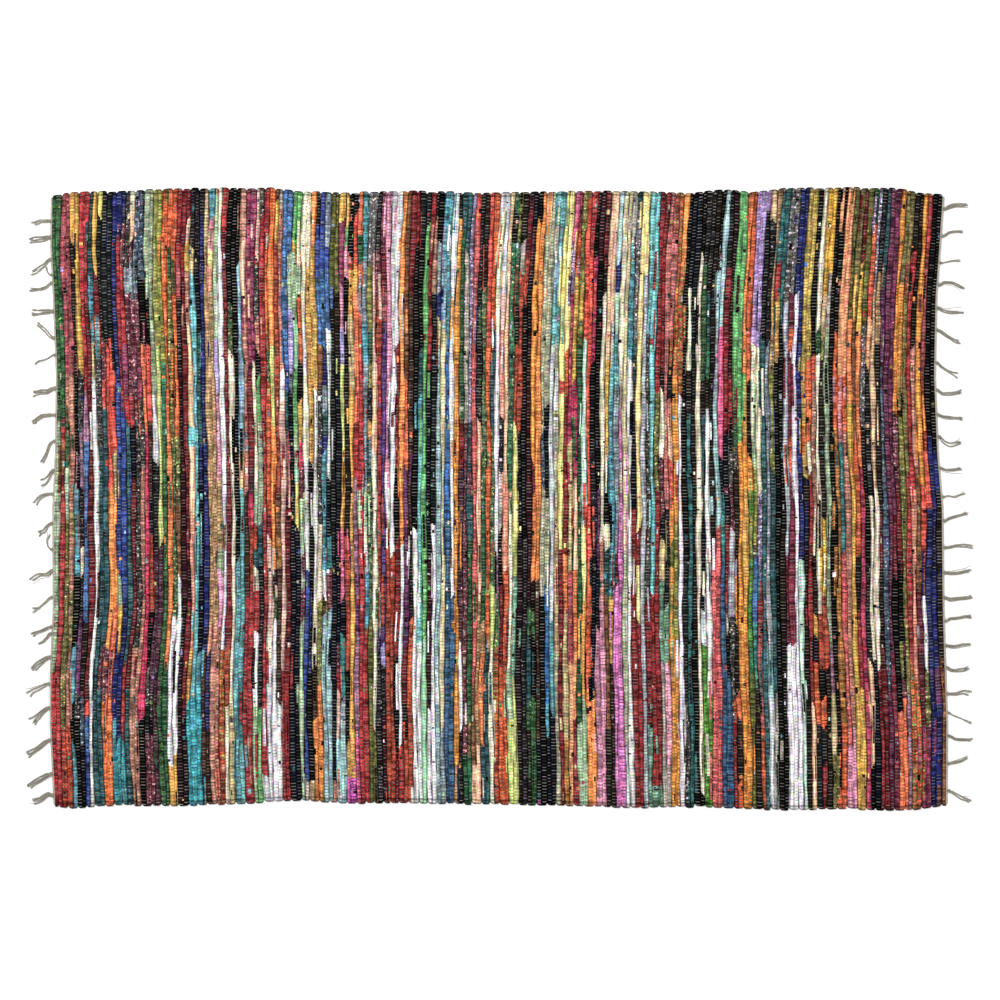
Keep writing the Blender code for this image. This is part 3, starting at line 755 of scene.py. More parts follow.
    def dyed_and_shaded(self, nodes: WeaveNodes, cloth: Socket, shade: Socket) -> Socket:
        """The cloth's colour, its dye worn unevenly, under its painted shade."""
        worn = self.worn_dye
        low, high = 0.5 - worn.reach, 0.5 + worn.reach
        noise = nodes.noise(worn.width, worn.length, worn.detail).outputs["Color"]
        inputs = {"Vector": noise, 7: (low,) * 3, 8: (high,) * 3, 9: (worn.dark,) * 3, 10: (worn.light,) * 3}
        hue = add_node(nodes.tree, "ShaderNodeMapRange", inputs, data_type="FLOAT_VECTOR").outputs["Vector"]
        tinted = add_node(nodes.tree, "ShaderNodeVectorMath", {0: cloth, 1: hue}, operation="MULTIPLY")
        shaded = {0: tinted.outputs[0], 3: shade}
        return add_node(nodes.tree, "ShaderNodeVectorMath", shaded, operation="SCALE").outputs[0]

    def make(self, name: str) -> bpy.types.Material:
        """Makes the material.

        Args:
            name: the material's name.

        Returns:
            The material.
        """
        finish = {"Roughness": self.roughness, "Specular IOR Level": self.specular}
        material, tree, shader = start_material(name, finish)
        nodes = WeaveNodes(tree)
        rag = add_node(tree, "ShaderNodeAttribute", attribute_name="rag")
        light = add_node(tree, "ShaderNodeRGBToBW", {0: rag.outputs["Color"]}).outputs[0]
        cloth = self.printed(nodes, rag.outputs["Color"])
        shade = nodes.product(self.long_shade(nodes, light), self.fine_shade(nodes, light))
        # The cloth's colour with the painted shade of folds, grooves, beads and pinches.
        dyed_and_shaded = self.dyed_and_shaded(nodes, cloth, shade)

        stained = {0: self.stain, 6: (*linear(self.yarn), 1.0), 7: cloth}
        yarn = add_node(tree, "ShaderNodeMix", stained, data_type="RGBA").outputs[2]
        # Painted shade on the yarn in its pinch beside light rags, and painted light on it beside dark rags.
        sunk_in = {0: yarn, 3: nodes.fade(light, 0.0, 0.5, 1.2, 0.6)}
        sunk = add_node(tree, "ShaderNodeVectorMath", sunk_in, operation="SCALE").outputs[0]
        dash = self.dash(nodes, rag.outputs["Alpha"])
        woven = add_node(tree, "ShaderNodeMix", {0: dash, 6: dyed_and_shaded, 7: sunk}, data_type="RGBA")
        tree.links.new(woven.outputs[2], shader["Base Color"])

        fuzz = nodes.product(nodes.noise(*self.nap_size).outputs[0], self.nap)
        height = nodes.maths("ADD", fuzz, nodes.product(dash, 0.5))
        bump = add_node(tree, "ShaderNodeBump", {"Strength": self.relief, "Distance": MM, "Height": height})
        tree.links.new(bump.outputs[0], shader["Normal"])
        return material


@dataclass(frozen=True)
class CottonYarn:
    """Unbleached cotton yarn, loosely twisted: matt, hairy and grey, with painted shade in soft clouds.

    Attributes:
        colour: its lighter grey.
        shadow: its darker grey, a painted shade.
        clouds: how far apart the two come and go, in mm.
        fibre: the size of its hairs in the bump, in mm.
        fibre_height: their height in mm.
        roughness: how matt it is.
        specular: how strongly it shines at all.
        sheen: how much its hairs catch grazing light.
    """

    colour: str = "a09a8c"
    shadow: str = "645d52"
    clouds: float = 25 / 3
    fibre: float = 0.8
    fibre_height: float = 0.3
    roughness: float = 0.95
    specular: float = 0.2
    sheen: float = 0.2

    def make(self, name: str) -> bpy.types.Material:
        """Makes the material.

        Args:
            name: the material's name.

        Returns:
            The material.
        """
        finish = {"Roughness": self.roughness, "Specular IOR Level": self.specular}
        material, tree, shader = start_material(name, {**finish, "Sheen Weight": self.sheen})
        place = add_node(tree, "ShaderNodeTexCoord").outputs["Object"]
        noises = []
        for size, detail in ((self.clouds, 3.0), (self.fibre, 2.0)):
            inputs = {"Vector": place, "Scale": 1 / (size * MM), "Detail": detail}
            noises.append(add_node(tree, "ShaderNodeTexNoise", inputs).outputs[0])
        # Painted shade: the darker grey comes and goes in soft clouds over the lighter one.
        shades = {0: noises[0], 6: (*linear(self.shadow), 1.0), 7: (*linear(self.colour), 1.0)}
        tone = add_node(tree, "ShaderNodeMix", shades, data_type="RGBA")
        tree.links.new(tone.outputs[2], shader["Base Color"])
        hairs = {"Strength": 0.4, "Distance": self.fibre_height * MM, "Height": noises[1]}
        tree.links.new(add_node(tree, "ShaderNodeBump", hairs).outputs[0], shader["Normal"])
        return material


class RibbedCloth:
    """A closed flat cloth with relief on its face, built from a grid of points.

    Its first and last rows lie on the floor. Its underside has one face a pick between the stations.

    Attributes:
        SPANS: columns of faces in a pick.
        EVERY: rows from one station to the next.
    """

    SPANS = 4
    EVERY = 6

    def __init__(self, points: Array, picks: Array, ends: Array) -> None:
        """Keeps the grid.

        Args:
            points: the grid's corners in metres, rows by columns by three.
            picks: each column's place in picks.
            ends: each row's place in warp ends.
        """
        self.points = points
        self.picks = picks
        self.ends = ends
        self.rows, self.columns = points.shape[:2]
        self.lanes = (self.columns - 1) // self.SPANS
        inner = list(range(self.EVERY, self.rows - self.EVERY // 2, self.EVERY))
        self.stations = [0, *inner, self.rows - 1]

    def corner(self, row: int, column: int) -> int:
        """A face corner's number."""
        return row * self.columns + column

    def lower(self, station: int, lane: int) -> int:
        """An underside corner's number, at a station and a pick's border."""
        if station == 0:
            return self.corner(0, lane * self.SPANS)
        if station == len(self.stations) - 1:
            return self.corner(self.rows - 1, lane * self.SPANS)
        return self.rows * self.columns + (station - 1) * (self.lanes + 1) + lane

    def under_faces(self) -> list[list[int]]:
        """The underside's faces, station by station."""
        last = len(self.stations) - 2
        faces = []
        for station in range(last + 1):
            for lane in range(self.lanes):
                first = lane * self.SPANS
                spread = range(first, first + self.SPANS + 1)
                near = [self.lower(station, lane), self.lower(station, lane + 1)]
                far = [self.lower(station + 1, lane), self.lower(station + 1, lane + 1)]
                if station == 0:
                    near = [self.corner(0, column) for column in spread]
                if station == last:
                    far = [self.corner(self.rows - 1, column) for column in spread]
                faces.append(far + near[::-1])
        return faces

    def side_faces(self, lane: int) -> list[list[int]]:
        """The upright faces on one side, at the first or the last pick's border."""
        column = lane * self.SPANS
        faces = []
        for station in range(len(self.stations) - 1):
            rows = range(self.stations[station], self.stations[station + 1] + 1)
            face = [self.corner(row, column) for row in rows]
            if station + 1 < len(self.stations) - 1:
                face.append(self.lower(station + 1, lane))
            if station > 0:
                face.append(self.lower(station, lane))
            faces.append(face if lane else face[::-1])
        return faces

    def build(self, name: str) -> tuple[bpy.types.Mesh, Array, Array, Array]:
        """Builds the mesh with its two UV maps.

        Args:
            name: the mesh's name.

        Returns:
            The mesh, each face's pick counted from the first one here, its place across the cloth in metres
            and its place across its pick, from -0.5 to 0.5.
        """
        rows, columns = np.meshgrid(np.arange(self.rows - 1), np.arange(self.columns - 1), indexing="ij")
        base = (rows * self.columns + columns).ravel()
        quads = np.stack([base, base + 1, base + 1 + self.columns, base + self.columns], axis=1)
        under = self.under_faces()
        sides = self.side_faces(0) + self.side_faces(self.lanes)
        inner = self.points[self.stations[1:-1], :: self.SPANS].copy()
        inner[..., 2] = 0.0
        points = np.concatenate([self.points.reshape(-1, 3), inner.reshape(-1, 3)])
        faces = quads.tolist() + under + sides
        mesh = bpy.data.meshes.new(name)
        mesh.from_pydata(points, [], faces)
        smooth = np.zeros(len(faces), dtype=bool)
        smooth[: len(quads)] = True
        mesh.polygons.foreach_set("use_smooth", smooth)
        mesh.update()

        borders = np.tile(self.picks[:: self.SPANS], len(inner))
        picks = np.concatenate([np.tile(self.picks, self.rows), borders])
        inner_ends = np.repeat(self.ends[self.stations[1:-1]], self.lanes + 1)
        ends = np.concatenate([np.repeat(self.ends, self.columns), inner_ends])
        loops = np.zeros(len(mesh.loops), dtype=np.int32)
        mesh.loops.foreach_get("vertex_index", loops)
        weave = mesh.uv_layers.new(name="weave")
        weave.data.foreach_set("uv", np.stack([picks[loops], ends[loops]], axis=1).ravel())

        sizes = np.array([len(face) for face in faces])
        face_of = np.repeat(np.arange(len(faces)), sizes)
        starts = np.concatenate([[0], np.cumsum(sizes)[:-1]])
        middle = np.add.reduceat(ends[loops], starts) / sizes
        lane = np.add.reduceat(picks[loops], starts) / sizes
        bake = mesh.uv_layers.new(name="OFBake")
        places = self.bake_places(picks[loops], ends[loops], middle[face_of], face_of < len(quads))
        bake.data.foreach_set("uv", places.ravel())
        across = np.add.reduceat(points[loops, 1], starts) / sizes
        lanes = np.clip(np.floor(lane - self.picks[0]).astype(int), 0, self.lanes - 1)
        return mesh, lanes, across, lane - self.picks[0] - lanes - 0.5

    def bake_places(self, picks: Array, ends: Array, middle: Array, upper: Array) -> Array:
        """Lays the face out as six lengths, two by three, over a strip that takes the rest.

        Args:
            picks: each loop's place in picks.
            ends: each loop's place in warp ends.
            middle: its face's middle in warp ends.
            upper: whether its face is on the upper side.

        Returns:
            Each loop's place on the map.
        """
        low, high = float(self.ends.min()), float(self.ends.max())
        u = (picks - self.picks[0]) / (self.picks[-1] - self.picks[0])
        v = (ends - low) / (high - low)
        length = np.clip(np.floor((middle - low) / (high - low) * 6), 0, 5)
        gap, strip = 0.02, 0.13
        within = np.clip(v * 6 - length, -gap, 1 + gap)
        top_u = (length % 2 + gap + (1 - 2 * gap) * u) / 2
        top_v = strip + (length // 2 + gap + (1 - 2 * gap) * within) / 3 * (0.99 - strip)
        low_u = gap / 2 + (1 - gap) * v
        low_v = gap / 2 + 0.10 * u
        return np.stack([np.where(upper, top_u, low_u), np.where(upper, top_v, low_v)], axis=1)


def row_places(edge: tuple[float, ...], lift: tuple[float, ...]) -> tuple[Array, Array]:
    """Places the rows of a cloth's grid: one on each warp end and a few more at each long edge.

    Args:
        edge: the places of those few, in warp ends from the edge, the one on the floor first.
        lift: the share of the full height that each has.

    Returns:
        Each row's place in warp ends, and its share of the full height.
    """
    inside = np.arange(1, WEAVE.warp_ends)
    places = np.concatenate([edge, inside, WEAVE.warp_ends - np.array(edge[::-1])])
    return places, np.concatenate([lift, np.ones(len(inside)), lift[::-1]])


def smoothed(values: Array, width: int, **padding: Any) -> Array:
    """Smooths a line of values.

    Args:
        values: the values.
        width: over how many of them, an odd number.
        padding: how the line goes on past its ends.

    Returns:
        The smoothed values.
    """
    kernel = np.hanning(width)
    return np.convolve(np.pad(values, width // 2, **padding), kernel / kernel.sum(), mode="valid")


@dataclass
class RagWeave:
    """The rug's body: rag picks across it, each a row of beads between the warp ends that bind it.

    Attributes:
        bands: how many pieces the body is cut into.
        crest: a pick's height along its middle, in mm.
        hump: how much higher it is between the warp ends that pass over it.
        pinch: how much lower it is under them.
        shoulder: its height halfway to its border.
        valley: the height of its border.
        turn: how far a pick's turn bulges out at a long edge, in mm.
        notch: how far the edge draws in between the turns.
        turn_unevenness: how much that differs from turn to turn.
        turn_reach: how far from the edge the turns' bulge reaches in.
        rise: how much higher a turn's middle is than the valley, in mm.
        rise_reach: how far from the edge that reaches in.
        heading: the width left for each heading, in mm.
        sway: how far the warp ends push a pick's border aside, in mm.
        unevenness: how much the border differs from end to end.
        drift: how far the borders wander, in picks.
        swell: how much a pick's height differs, in mm.
        slant: how far a join slants over its pick, in mm.
        glimpses: how many bits of other rags show in a pick.
        bit: half the length of such a bit, from the least to the most, in mm.
        pale_bit: how much of that is left on a pale rag.
        bit_side: where over the pick it starts, from the least to the most, in picks from the middle.
        bit_breadth: how much of the pick it takes up, from the least to the most.
        streaks: the share of the bits that are streaks of the next pick's rag.
        streak: half the length of a streak, from the least to the most, in mm.
        tightness: how much lower the face is where the yarn pulls the turns tight, in mm.
        tight_width: how many warp ends that reaches over.
        tone: how much a rag's lightness differs from its cloth's.
        tint: how much each of its channels does.
        fading: how much every dye has faded towards grey.
        lean_heights: places across the rug, in mm.
        lean: how far the picks lean off their even places there, in picks, for some of the picks.
    """

    bands: int = 8
    crest: float = 6.1
    hump: float = 0.35
    pinch: float = 1.3
    shoulder: float = 4.8
    valley: float = 1.8
    turn: float = 4.4
    notch: float = 3.1
    turn_unevenness: float = 0.8
    turn_reach: float = 12.0
    rise: float = 3.5
    rise_reach: float = 8.0
    heading: float = 3.4
    sway: float = 0.22
    unevenness: float = 0.20
    drift: float = 0.15
    swell: float = 0.16
    slant: float = 22.0
    glimpses: float = 15.0
    bit: tuple[float, float] = (1.5, 6.0)
    pale_bit: float = 0.4
    bit_side: tuple[float, float] = (-0.6, 0.25)
    bit_breadth: tuple[float, float] = (0.25, 0.55)
    streaks: float = 0.24
    streak: tuple[float, float] = (12.0, 48.0)
    tightness: float = 1.3
    tight_width: float = 0.7
    tone: float = 0.07
    tint: float = 0.025
    fading: float = 0.08
    lean_heights: tuple[int, ...] = (-600, -400, -200, 0, 200, 400, 600)
    lean: tuple[tuple[int, tuple[float, ...]], ...] = (
        (0, (0.0, 0.0, 0.0, 0.0, 0.0, 0.0, 0.0)),
        (5, (-0.1, -0.1, 0.5, 0.5, -0.3, -0.4, 0.0)),
        (12, (-0.2, -0.1, 1.0, 0.8, -0.4, -0.5, 0.0)),
        (24, (-0.2, -0.1, 0.7, 0.6, -0.4, -0.5, 0.0)),
        (36, (-0.2, 0.0, 0.5, 0.4, -0.4, -0.5, 0.0)),
        (46, (0.2, 0.3, 0.2, 0.1, -0.3, -0.4, 0.0)),
        (56, (0.0, 0.1, 0.1, 0.1, -0.1, -0.1, 0.0)),
        (68, (0.0, 0.0, -0.1, -0.1, 0.0, 0.1, 0.2)),
        (76, (-0.8, -0.5, -0.4, -0.4, -0.1, 0.3, 0.8)),
        (86, (-0.9, -0.6, -0.4, -0.4, -0.1, 0.3, 0.8)),
        (96, (-1.1, -1.1, -1.0, -0.7, -0.3, 0.3, 0.8)),
        (116, (-1.1, -1.1, -1.0, -0.7, -0.3, 0.3, 0.8)),
        (126, (-1.0, -1.1, -1.2, -0.9, -0.3, 0.2, 0.4)),
        (143, (-1.0, -1.1, -1.2, -0.9, -0.3, 0.1, 0.4)),
        (150, (-0.7, -0.8, -1.1, -0.8, -0.3, 0.1, 0.4)),
        (166, (-0.7, -0.8, -1.1, -0.8, -0.3, 0.1, 0.4)),
        (174, (0.0, -0.3, -0.8, -0.6, -0.2, 0.1, 0.2)),
        (187, (0.0, -0.3, -0.8, -0.6, -0.2, 0.1, 0.2)),
        (192, (0.0, 0.0, 0.0, 0.0, 0.0, 0.0, 0.0)),
    )

    def leaning(self, ends: Array) -> Array:
        """How far each pick's border leans at each row, in picks.

        Args:
            ends: the rows' places in warp ends.

        Returns:
            Rows by borders.
        """
        heights = np.arange(-660.0, 661.0, 5.0)
        at = (ends / WEAVE.warp_ends - 0.5) * WEAVE.width
        by_mark = []
        for _, shifts in self.lean:
            soft = smoothed(np.interp(heights, self.lean_heights, shifts), 33, mode="edge")
            by_mark.append(np.interp(at, heights, soft))
        marks = [mark for mark, _ in self.lean]
        borders = np.arange(WEAVE.picks + 1)
        return np.array([np.interp(borders, marks, shifts) for shifts in np.array(by_mark).T])

    def wander(self, ends: Array, strands: int, size: float, seed: int) -> Array:
        """Smooth seeded waves along each of some strands.

        Args:
            ends: the rows' places in warp ends.
            strands: how many strands.
            size: the waves' size.
            seed: the seed.

        Returns:
            Rows by strands.
        """
        chance = np.random.default_rng(seed)
        total = np.zeros((len(ends), strands))
        for waves, share in ((1.3, 1.0), (2.9, 0.8), (5.3, 0.6), (9.1, 0.35), (17.0, 0.15)):
            phase = chance.uniform(0, 2 * math.pi, strands)
            pace = waves * chance.uniform(0.8, 1.25, strands)
            total += share * np.sin(2 * math.pi * ends[:, None] / WEAVE.warp_ends * pace + phase)
        return size * total

    def spread(
        self, ends: Array, columns: Array, over: Array, chance: np.random.Generator
    ) -> tuple[Array, Array]:
        """Lays the picks out over the floor, between the headings and out to the long edges.

        Args:
            ends: the rows' places in warp ends.
            columns: the columns' places in picks.
            over: at each row and border, which way the warp end there pushes it.
            chance: the seeded generator.

        Returns:
            X and Y of each corner of the grid, in mm.
        """
        base = np.minimum(columns.astype(int), WEAVE.picks - 1)
        part = columns - base
        place = np.arange(WEAVE.picks + 1) + self.leaning(ends)
        place += self.wander(ends, WEAVE.picks + 1, self.drift, 11)
        place[:, 0] = 0.0
        place[:, -1] = WEAVE.picks
        length = (place[:, base] * (1 - part) + place[:, base + 1] * part) / WEAVE.picks
        t = (ends / WEAVE.warp_ends)[:, None]
        y = np.broadcast_to((t - 0.5) * WEAVE.width, length.shape)
        for _ in range(3):
            left = OUTLINE.end(y, -1) + self.heading
            right = OUTLINE.end(y, 1) - self.heading
            x = left + (right - left) * length
            near, far = OUTLINE.edge(x, -1), OUTLINE.edge(x, 1)
            y = near + (far - near) * t

        number = np.round(columns).astype(int)
        on_border = (part % 1.0 == 0.0) & (number > 0) & (number < WEAVE.picks)
        jitter = chance.normal(0.0, self.unevenness, over.shape)
        x = x + np.where(on_border[None, :], (self.sway * over + jitter)[:, number], 0.0)
        for side, away in ((-1, ends), (1, WEAVE.warp_ends - ends)):
            nub = np.abs(np.cos(math.pi / 2 * (columns + (0 if side < 0 else 1))))
            number = np.floor((columns + (1 if side < 0 else 0)) / 2).astype(int)
            reach = chance.normal(0.0, self.turn_unevenness, WEAVE.picks)[number]
            outward = self.turn * np.sqrt(1 - (1 - nub) ** 2) - self.notch + reach
            inward = np.clip(1 - away * WEAVE.warp_pitch / self.turn_reach, 0, 1) ** 1.5
            y = y + side * outward[None, :] * inward[:, None]
        return x, y

    def relief(self, ends: Array, columns: Array, over: Array, chance: np.random.Generator) -> Array:
        """Raises the picks: each is a row of beads, pinched where a warp end passes over it.

        Args:
            ends: the rows' places in warp ends.
            columns: the columns' places in picks.
            over: at each row and border, which way the warp end there pushes it.
            chance: the seeded generator.

        Returns:
            Z of each corner of the grid in mm, before it is lowered at the long edges.
        """
        base = np.minimum(columns.astype(int), WEAVE.picks - 1)
        pinched = over[:, base] > 0.5
        swell = self.wander(ends, WEAVE.picks, self.swell, 23)
        bulk = (swell + chance.normal(0.0, self.swell, (len(ends), WEAVE.picks)))[:, base]
        crest = self.crest + bulk + np.where(pinched, -self.pinch, self.hump)
        shoulder = self.shoulder + bulk + np.where(pinched, -self.pinch * 0.8, self.hump)
        quarter = np.round((columns - base) * RibbedCloth.SPANS).astype(int)
        z = np.where(quarter == 2, crest, np.where(quarter % 4 == 0, self.valley, shoulder))

        nearest = np.minimum(ends, WEAVE.warp_ends - ends)[:, None]
        swing = np.cos(math.pi * columns)[None, :]
        near_side = (ends < WEAVE.warp_ends - ends)[:, None]
        outer = np.where(near_side, (1 + swing) / 2, (1 - swing) / 2)
        close = np.clip(1 - nearest * WEAVE.warp_pitch / self.rise_reach, 0, 1)
        z = z + np.where(quarter % 4 == 0, close * outer, 0.0) * self.rise
        return z - self.tightness * np.exp(-(((nearest - WEAVE.tight_end) / self.tight_width) ** 2))

    def surface(self) -> tuple[Array, Array, Array]:
        """Works out the whole face.

        Returns:
            The grid's corners in metres, the columns' places in picks and the rows' in warp ends.
        """
        ends, share = row_places((0.5, 0.0, 0.26, 0.62), (0.0, 0.32, 0.66, 0.88))
        columns = np.arange(WEAVE.picks * RibbedCloth.SPANS + 1) / RibbedCloth.SPANS
        whole = np.isclose(ends, np.round(ends)) & (ends > 0) & (ends < WEAVE.warp_ends)
        even = (np.round(ends)[:, None] + np.arange(WEAVE.picks + 1)) % 2 == 0
        over = np.where(whole[:, None], np.where(even, 1.0, -1.0), 0.0)
        chance = np.random.default_rng(5)
        x, y = self.spread(ends, columns, over, chance)
        z = self.relief(ends, columns, over, chance) * share[:, None]
        return np.stack([x, y, z], axis=2) * MM, columns, ends

    def dye(self, lanes: Array, across: Array, part: Array, first: int) -> tuple[Array, Array, Array]:
        """Gives each face its rag's colours.

        Args:
            lanes: each face's pick, counted from the band's first one.
            across: its place across the rug, in mm.
            part: its place across its pick, from -0.5 to 0.5.
            first: the band's first pick.

        Returns:
            The ground with the yarn's show, the print with its cover, and whether another rag lies beside.
        """
        ground = np.zeros((len(lanes), 4))
        figure = np.zeros((len(lanes), 4))
        seam = np.zeros(len(lanes))
        step = 3.0
        for lane in range(int(lanes.max()) + 1):
            number = first + lane
            chance = np.random.default_rng(1000 + number)
            laid = WEAVING_ORDER[number]
            here = np.flatnonzero(lanes == lane)
            slant = chance.uniform(-self.slant, self.slant, len(laid.joins))
            joins = np.array(laid.joins)[None, :] + slant[None, :] * part[here][:, None]
            run = (across[here][:, None] < joins).sum(axis=1)
            for order, rag in enumerate(laid.rags):
                self.paint(ground, figure, here[run == order], rag, chance)
            for side in (-1, 1):
                faces = here[part[here] * side > 0]
                for height in np.unique(np.round(across[faces] / step)) * step:
                    near = faces[np.abs(across[faces] - height) < step / 2 + 0.1]
                    seam[near] = self.rag_at(number, height) is not self.rag_at(number + side, height)
            for _ in range(chance.poisson(self.glimpses)):
                middle, half, low, high, rag = self.glimpse(number, chance)
                bit = (np.abs(across[here] - middle) < half) & (part[here] > low) & (part[here] < high)
                self.paint(ground, figure, here[bit], rag, chance)
        return ground, figure, seam

    def glimpse(self, number: int, chance: np.random.Generator) -> tuple[float, float, float, float, Rag]:
        """Picks where and how another rag shows through for a short way.

        Args:
            number: the pick that it shows in.
            chance: the pick's generator.

        Returns:
            Its middle and half its length across the rug in mm, its two sides over the pick and its rag.
        """
        middle = chance.uniform(-WEAVE.width / 2, WEAVE.width / 2)
        pale = sum(linear(self.rag_at(number, middle).value.ground)) > 1.2
        half = chance.uniform(*self.bit) * (self.pale_bit if pale else 1.0)
        low = chance.uniform(*self.bit_side)
        high = low + chance.uniform(*self.bit_breadth)
        rag = self.glimpsed(number, middle, chance)
        if chance.uniform() < self.streaks:
            half = chance.uniform(*self.streak)
            rag = self.rag_at(number + int(chance.choice((-1, 1))), middle)
        return middle, half, low, high, rag

    @staticmethod
    def rag_at(number: int, height: float) -> Rag:
        """The rag of a pick at a height across the rug in mm."""
        laid = WEAVING_ORDER[min(max(number, 0), len(WEAVING_ORDER) - 1)]
        return laid.rags[sum(height < join for join in laid.joins)]

    @classmethod
    def paint(cls, ground: Array, figure: Array, faces: Array, rag: Rag, chance: np.random.Generator) -> None:
        """Colours some faces with one rag, a little off its cloth's even tone.

        Args:
            ground: every face's ground and yarn's show.
            figure: every face's print and its cover.
            faces: the faces to colour.
            rag: their rag.
            chance: the pick's generator.
        """
        cloth: Cotton = rag.value
        tone = 1.0 + chance.normal(0.0, cls.tone)
        tint = 1.0 + chance.normal(0.0, cls.tint, 3)
        colour = np.array(linear(cloth.ground))
        colour = colour + (colour.mean() - colour) * cls.fading
        ground[faces, :3] = np.clip(colour * tone * tint, 0.0, 0.95)
        ground[faces, 3] = chance.uniform(0.6, 1.0) * (0.65 if colour.mean() > 0.5 else 1.0)
        figure[faces, :3] = linear(cloth.figure or cloth.ground)
        figure[faces, 3] = cloth.cover

    @classmethod
    def glimpsed(cls, number: int, height: float, chance: np.random.Generator) -> Rag:
        """A rag that shows through for a short way: a neighbour's, a dark one or any other.

        Args:
            number: the pick that it shows in.
            height: where across the rug, in mm.
            chance: the pick's generator.

        Returns:
            The rag.
        """
        kind = chance.uniform()
        beside, dark = 0.5, 0.88
        if kind < beside:
            return cls.rag_at(number + int(chance.choice((-1, 1))), height)
        if kind < dark:
            return DARK_RAGS[int(chance.integers(len(DARK_RAGS)))]
        return list(Rag)[int(chance.integers(len(Rag)))]

    def make(self, left: list[bpy.types.Object], right: list[bpy.types.Object]) -> list[bpy.types.Object]:
        """Builds and dresses the body.

        Args:
            left: the left fringe's pieces.
            right: the right fringe's pieces.

        Returns:
            Its bands, from the left end to the right one.
        """
        points, columns, ends = self.surface()
        material = WovenRag().make("woven_cotton_rag")
        width = WEAVE.picks // self.bands
        pieces = []
        for band in range(self.bands):
            first = band * width
            cut = slice(first * RibbedCloth.SPANS, (first + width) * RibbedCloth.SPANS + 1)
            cloth = RibbedCloth(points[:, cut], columns[cut], ends)
            mesh, lanes, across, part = cloth.build(f"rag_band_{band + 1}")
            ground, figure, seam = self.dye(lanes, across / MM, part, first)
            for name, values in (("rag", ground), ("figure", figure)):
                layer = mesh.attributes.new(name, "FLOAT_COLOR", "FACE")
                layer.data.foreach_set("color", values.ravel())
            mesh.attributes.new("seam", "FLOAT", "FACE").data.foreach_set("value", seam)
            piece = link_object(f"rag_band_{band + 1}", mesh, material)
            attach(piece, "root")
            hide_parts("rag_weave")
            flat = points[:, cut]
            size = (float(np.ptp(flat[..., 0].mean(axis=0))), float(np.ptp(flat[..., 1].mean(axis=1))))
            fringe = {0: left, self.bands - 1: right}.get(band, [])
            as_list(fringe)
            extent = f"{size[0] / MM:.0f} by {size[1] / MM:.0f} mm"
            LOG.info("%s: picks %d to %d, %s", piece.name, first, first + width, extent)
            pieces.append(piece)
        return pieces


@dataclass(frozen=True)
class Tassel:
    """A tassel's root across the rug, three places of its run, its width, strands and splay, in mm."""

    root: float
    near_out: float
    near_side: float
    far_out: float
    far_side: float
    tip_out: float
    tip_side: float
    width: float
    strands: int
    splay: float


LEFT_TASSELS = (
    Tassel(-578, 12, 2, 27, -10, 46, -15, 9, 3, 6),
    Tassel(-537, 18, -8, 33, -16, 48, -25, 11, 3, 5),
    Tassel(-471, 16, -10, 27, -19, 46, -30, 8, 3, 9),
    Tassel(-408, 14, -8, 25, -19, 38, -32, 8, 3, 8),
    Tassel(-361, 20, -8, 34, -14, 46, -22, 8, 2, 7),
    Tassel(-309, 16, -8, 27, -15, 38, -26, 8, 3, 6),
    Tassel(-263, 9, -9, 17, -17, 27, -22, 5, 2, 2),
    Tassel(-250, 18, -7, 30, -11, 43, -16, 6, 2, 2),
    Tassel(-192, 16, -12, 29, -24, 43, -29, 5, 2, 2),
    Tassel(-141, 11, -8, 29, -8, 47, -21, 8, 2, 4),
    Tassel(-99, 10, 6, 12, 20, 8, 34, 5, 1, 0),
    Tassel(-48, 12, -8, 18, -18, 32, -22, 6, 2, 5),
    Tassel(9, 16, -2, 26, -7, 41, -23, 5, 2, 2),
    Tassel(55, 12, -14, 20, -24, 30, -29, 6, 2, 8),
    Tassel(112, 11, -9, 19, -30, 25, -45, 5, 2, 1),
    Tassel(163, 26, -2, 36, -9, 45, -18, 7, 3, 5),
    Tassel(215, 18, -8, 31, -8, 47, -11, 10, 3, 5),
    Tassel(280, 16, -8, 33, -13, 43, -18, 4, 1, 0),
    Tassel(313, 11, 6, 21, 18, 37, 31, 8, 2, 3),
    Tassel(365, 13, -1, 30, -3, 48, -4, 9, 3, 7),
    Tassel(420, 12, -9, 24, -13, 48, -14, 6, 2, 1),
    Tassel(436, 6, 3, 10, 8, 13, 16, 4, 1, 0),
    Tassel(466, 14, -12, 27, -21, 41, -31, 8, 2, 3),
    Tassel(509, 13, -3, 28, -5, 44, -8, 11, 3, 5),
    Tassel(541, 12, -1, 21, 0, 38, -6, 6, 2, 1),
)

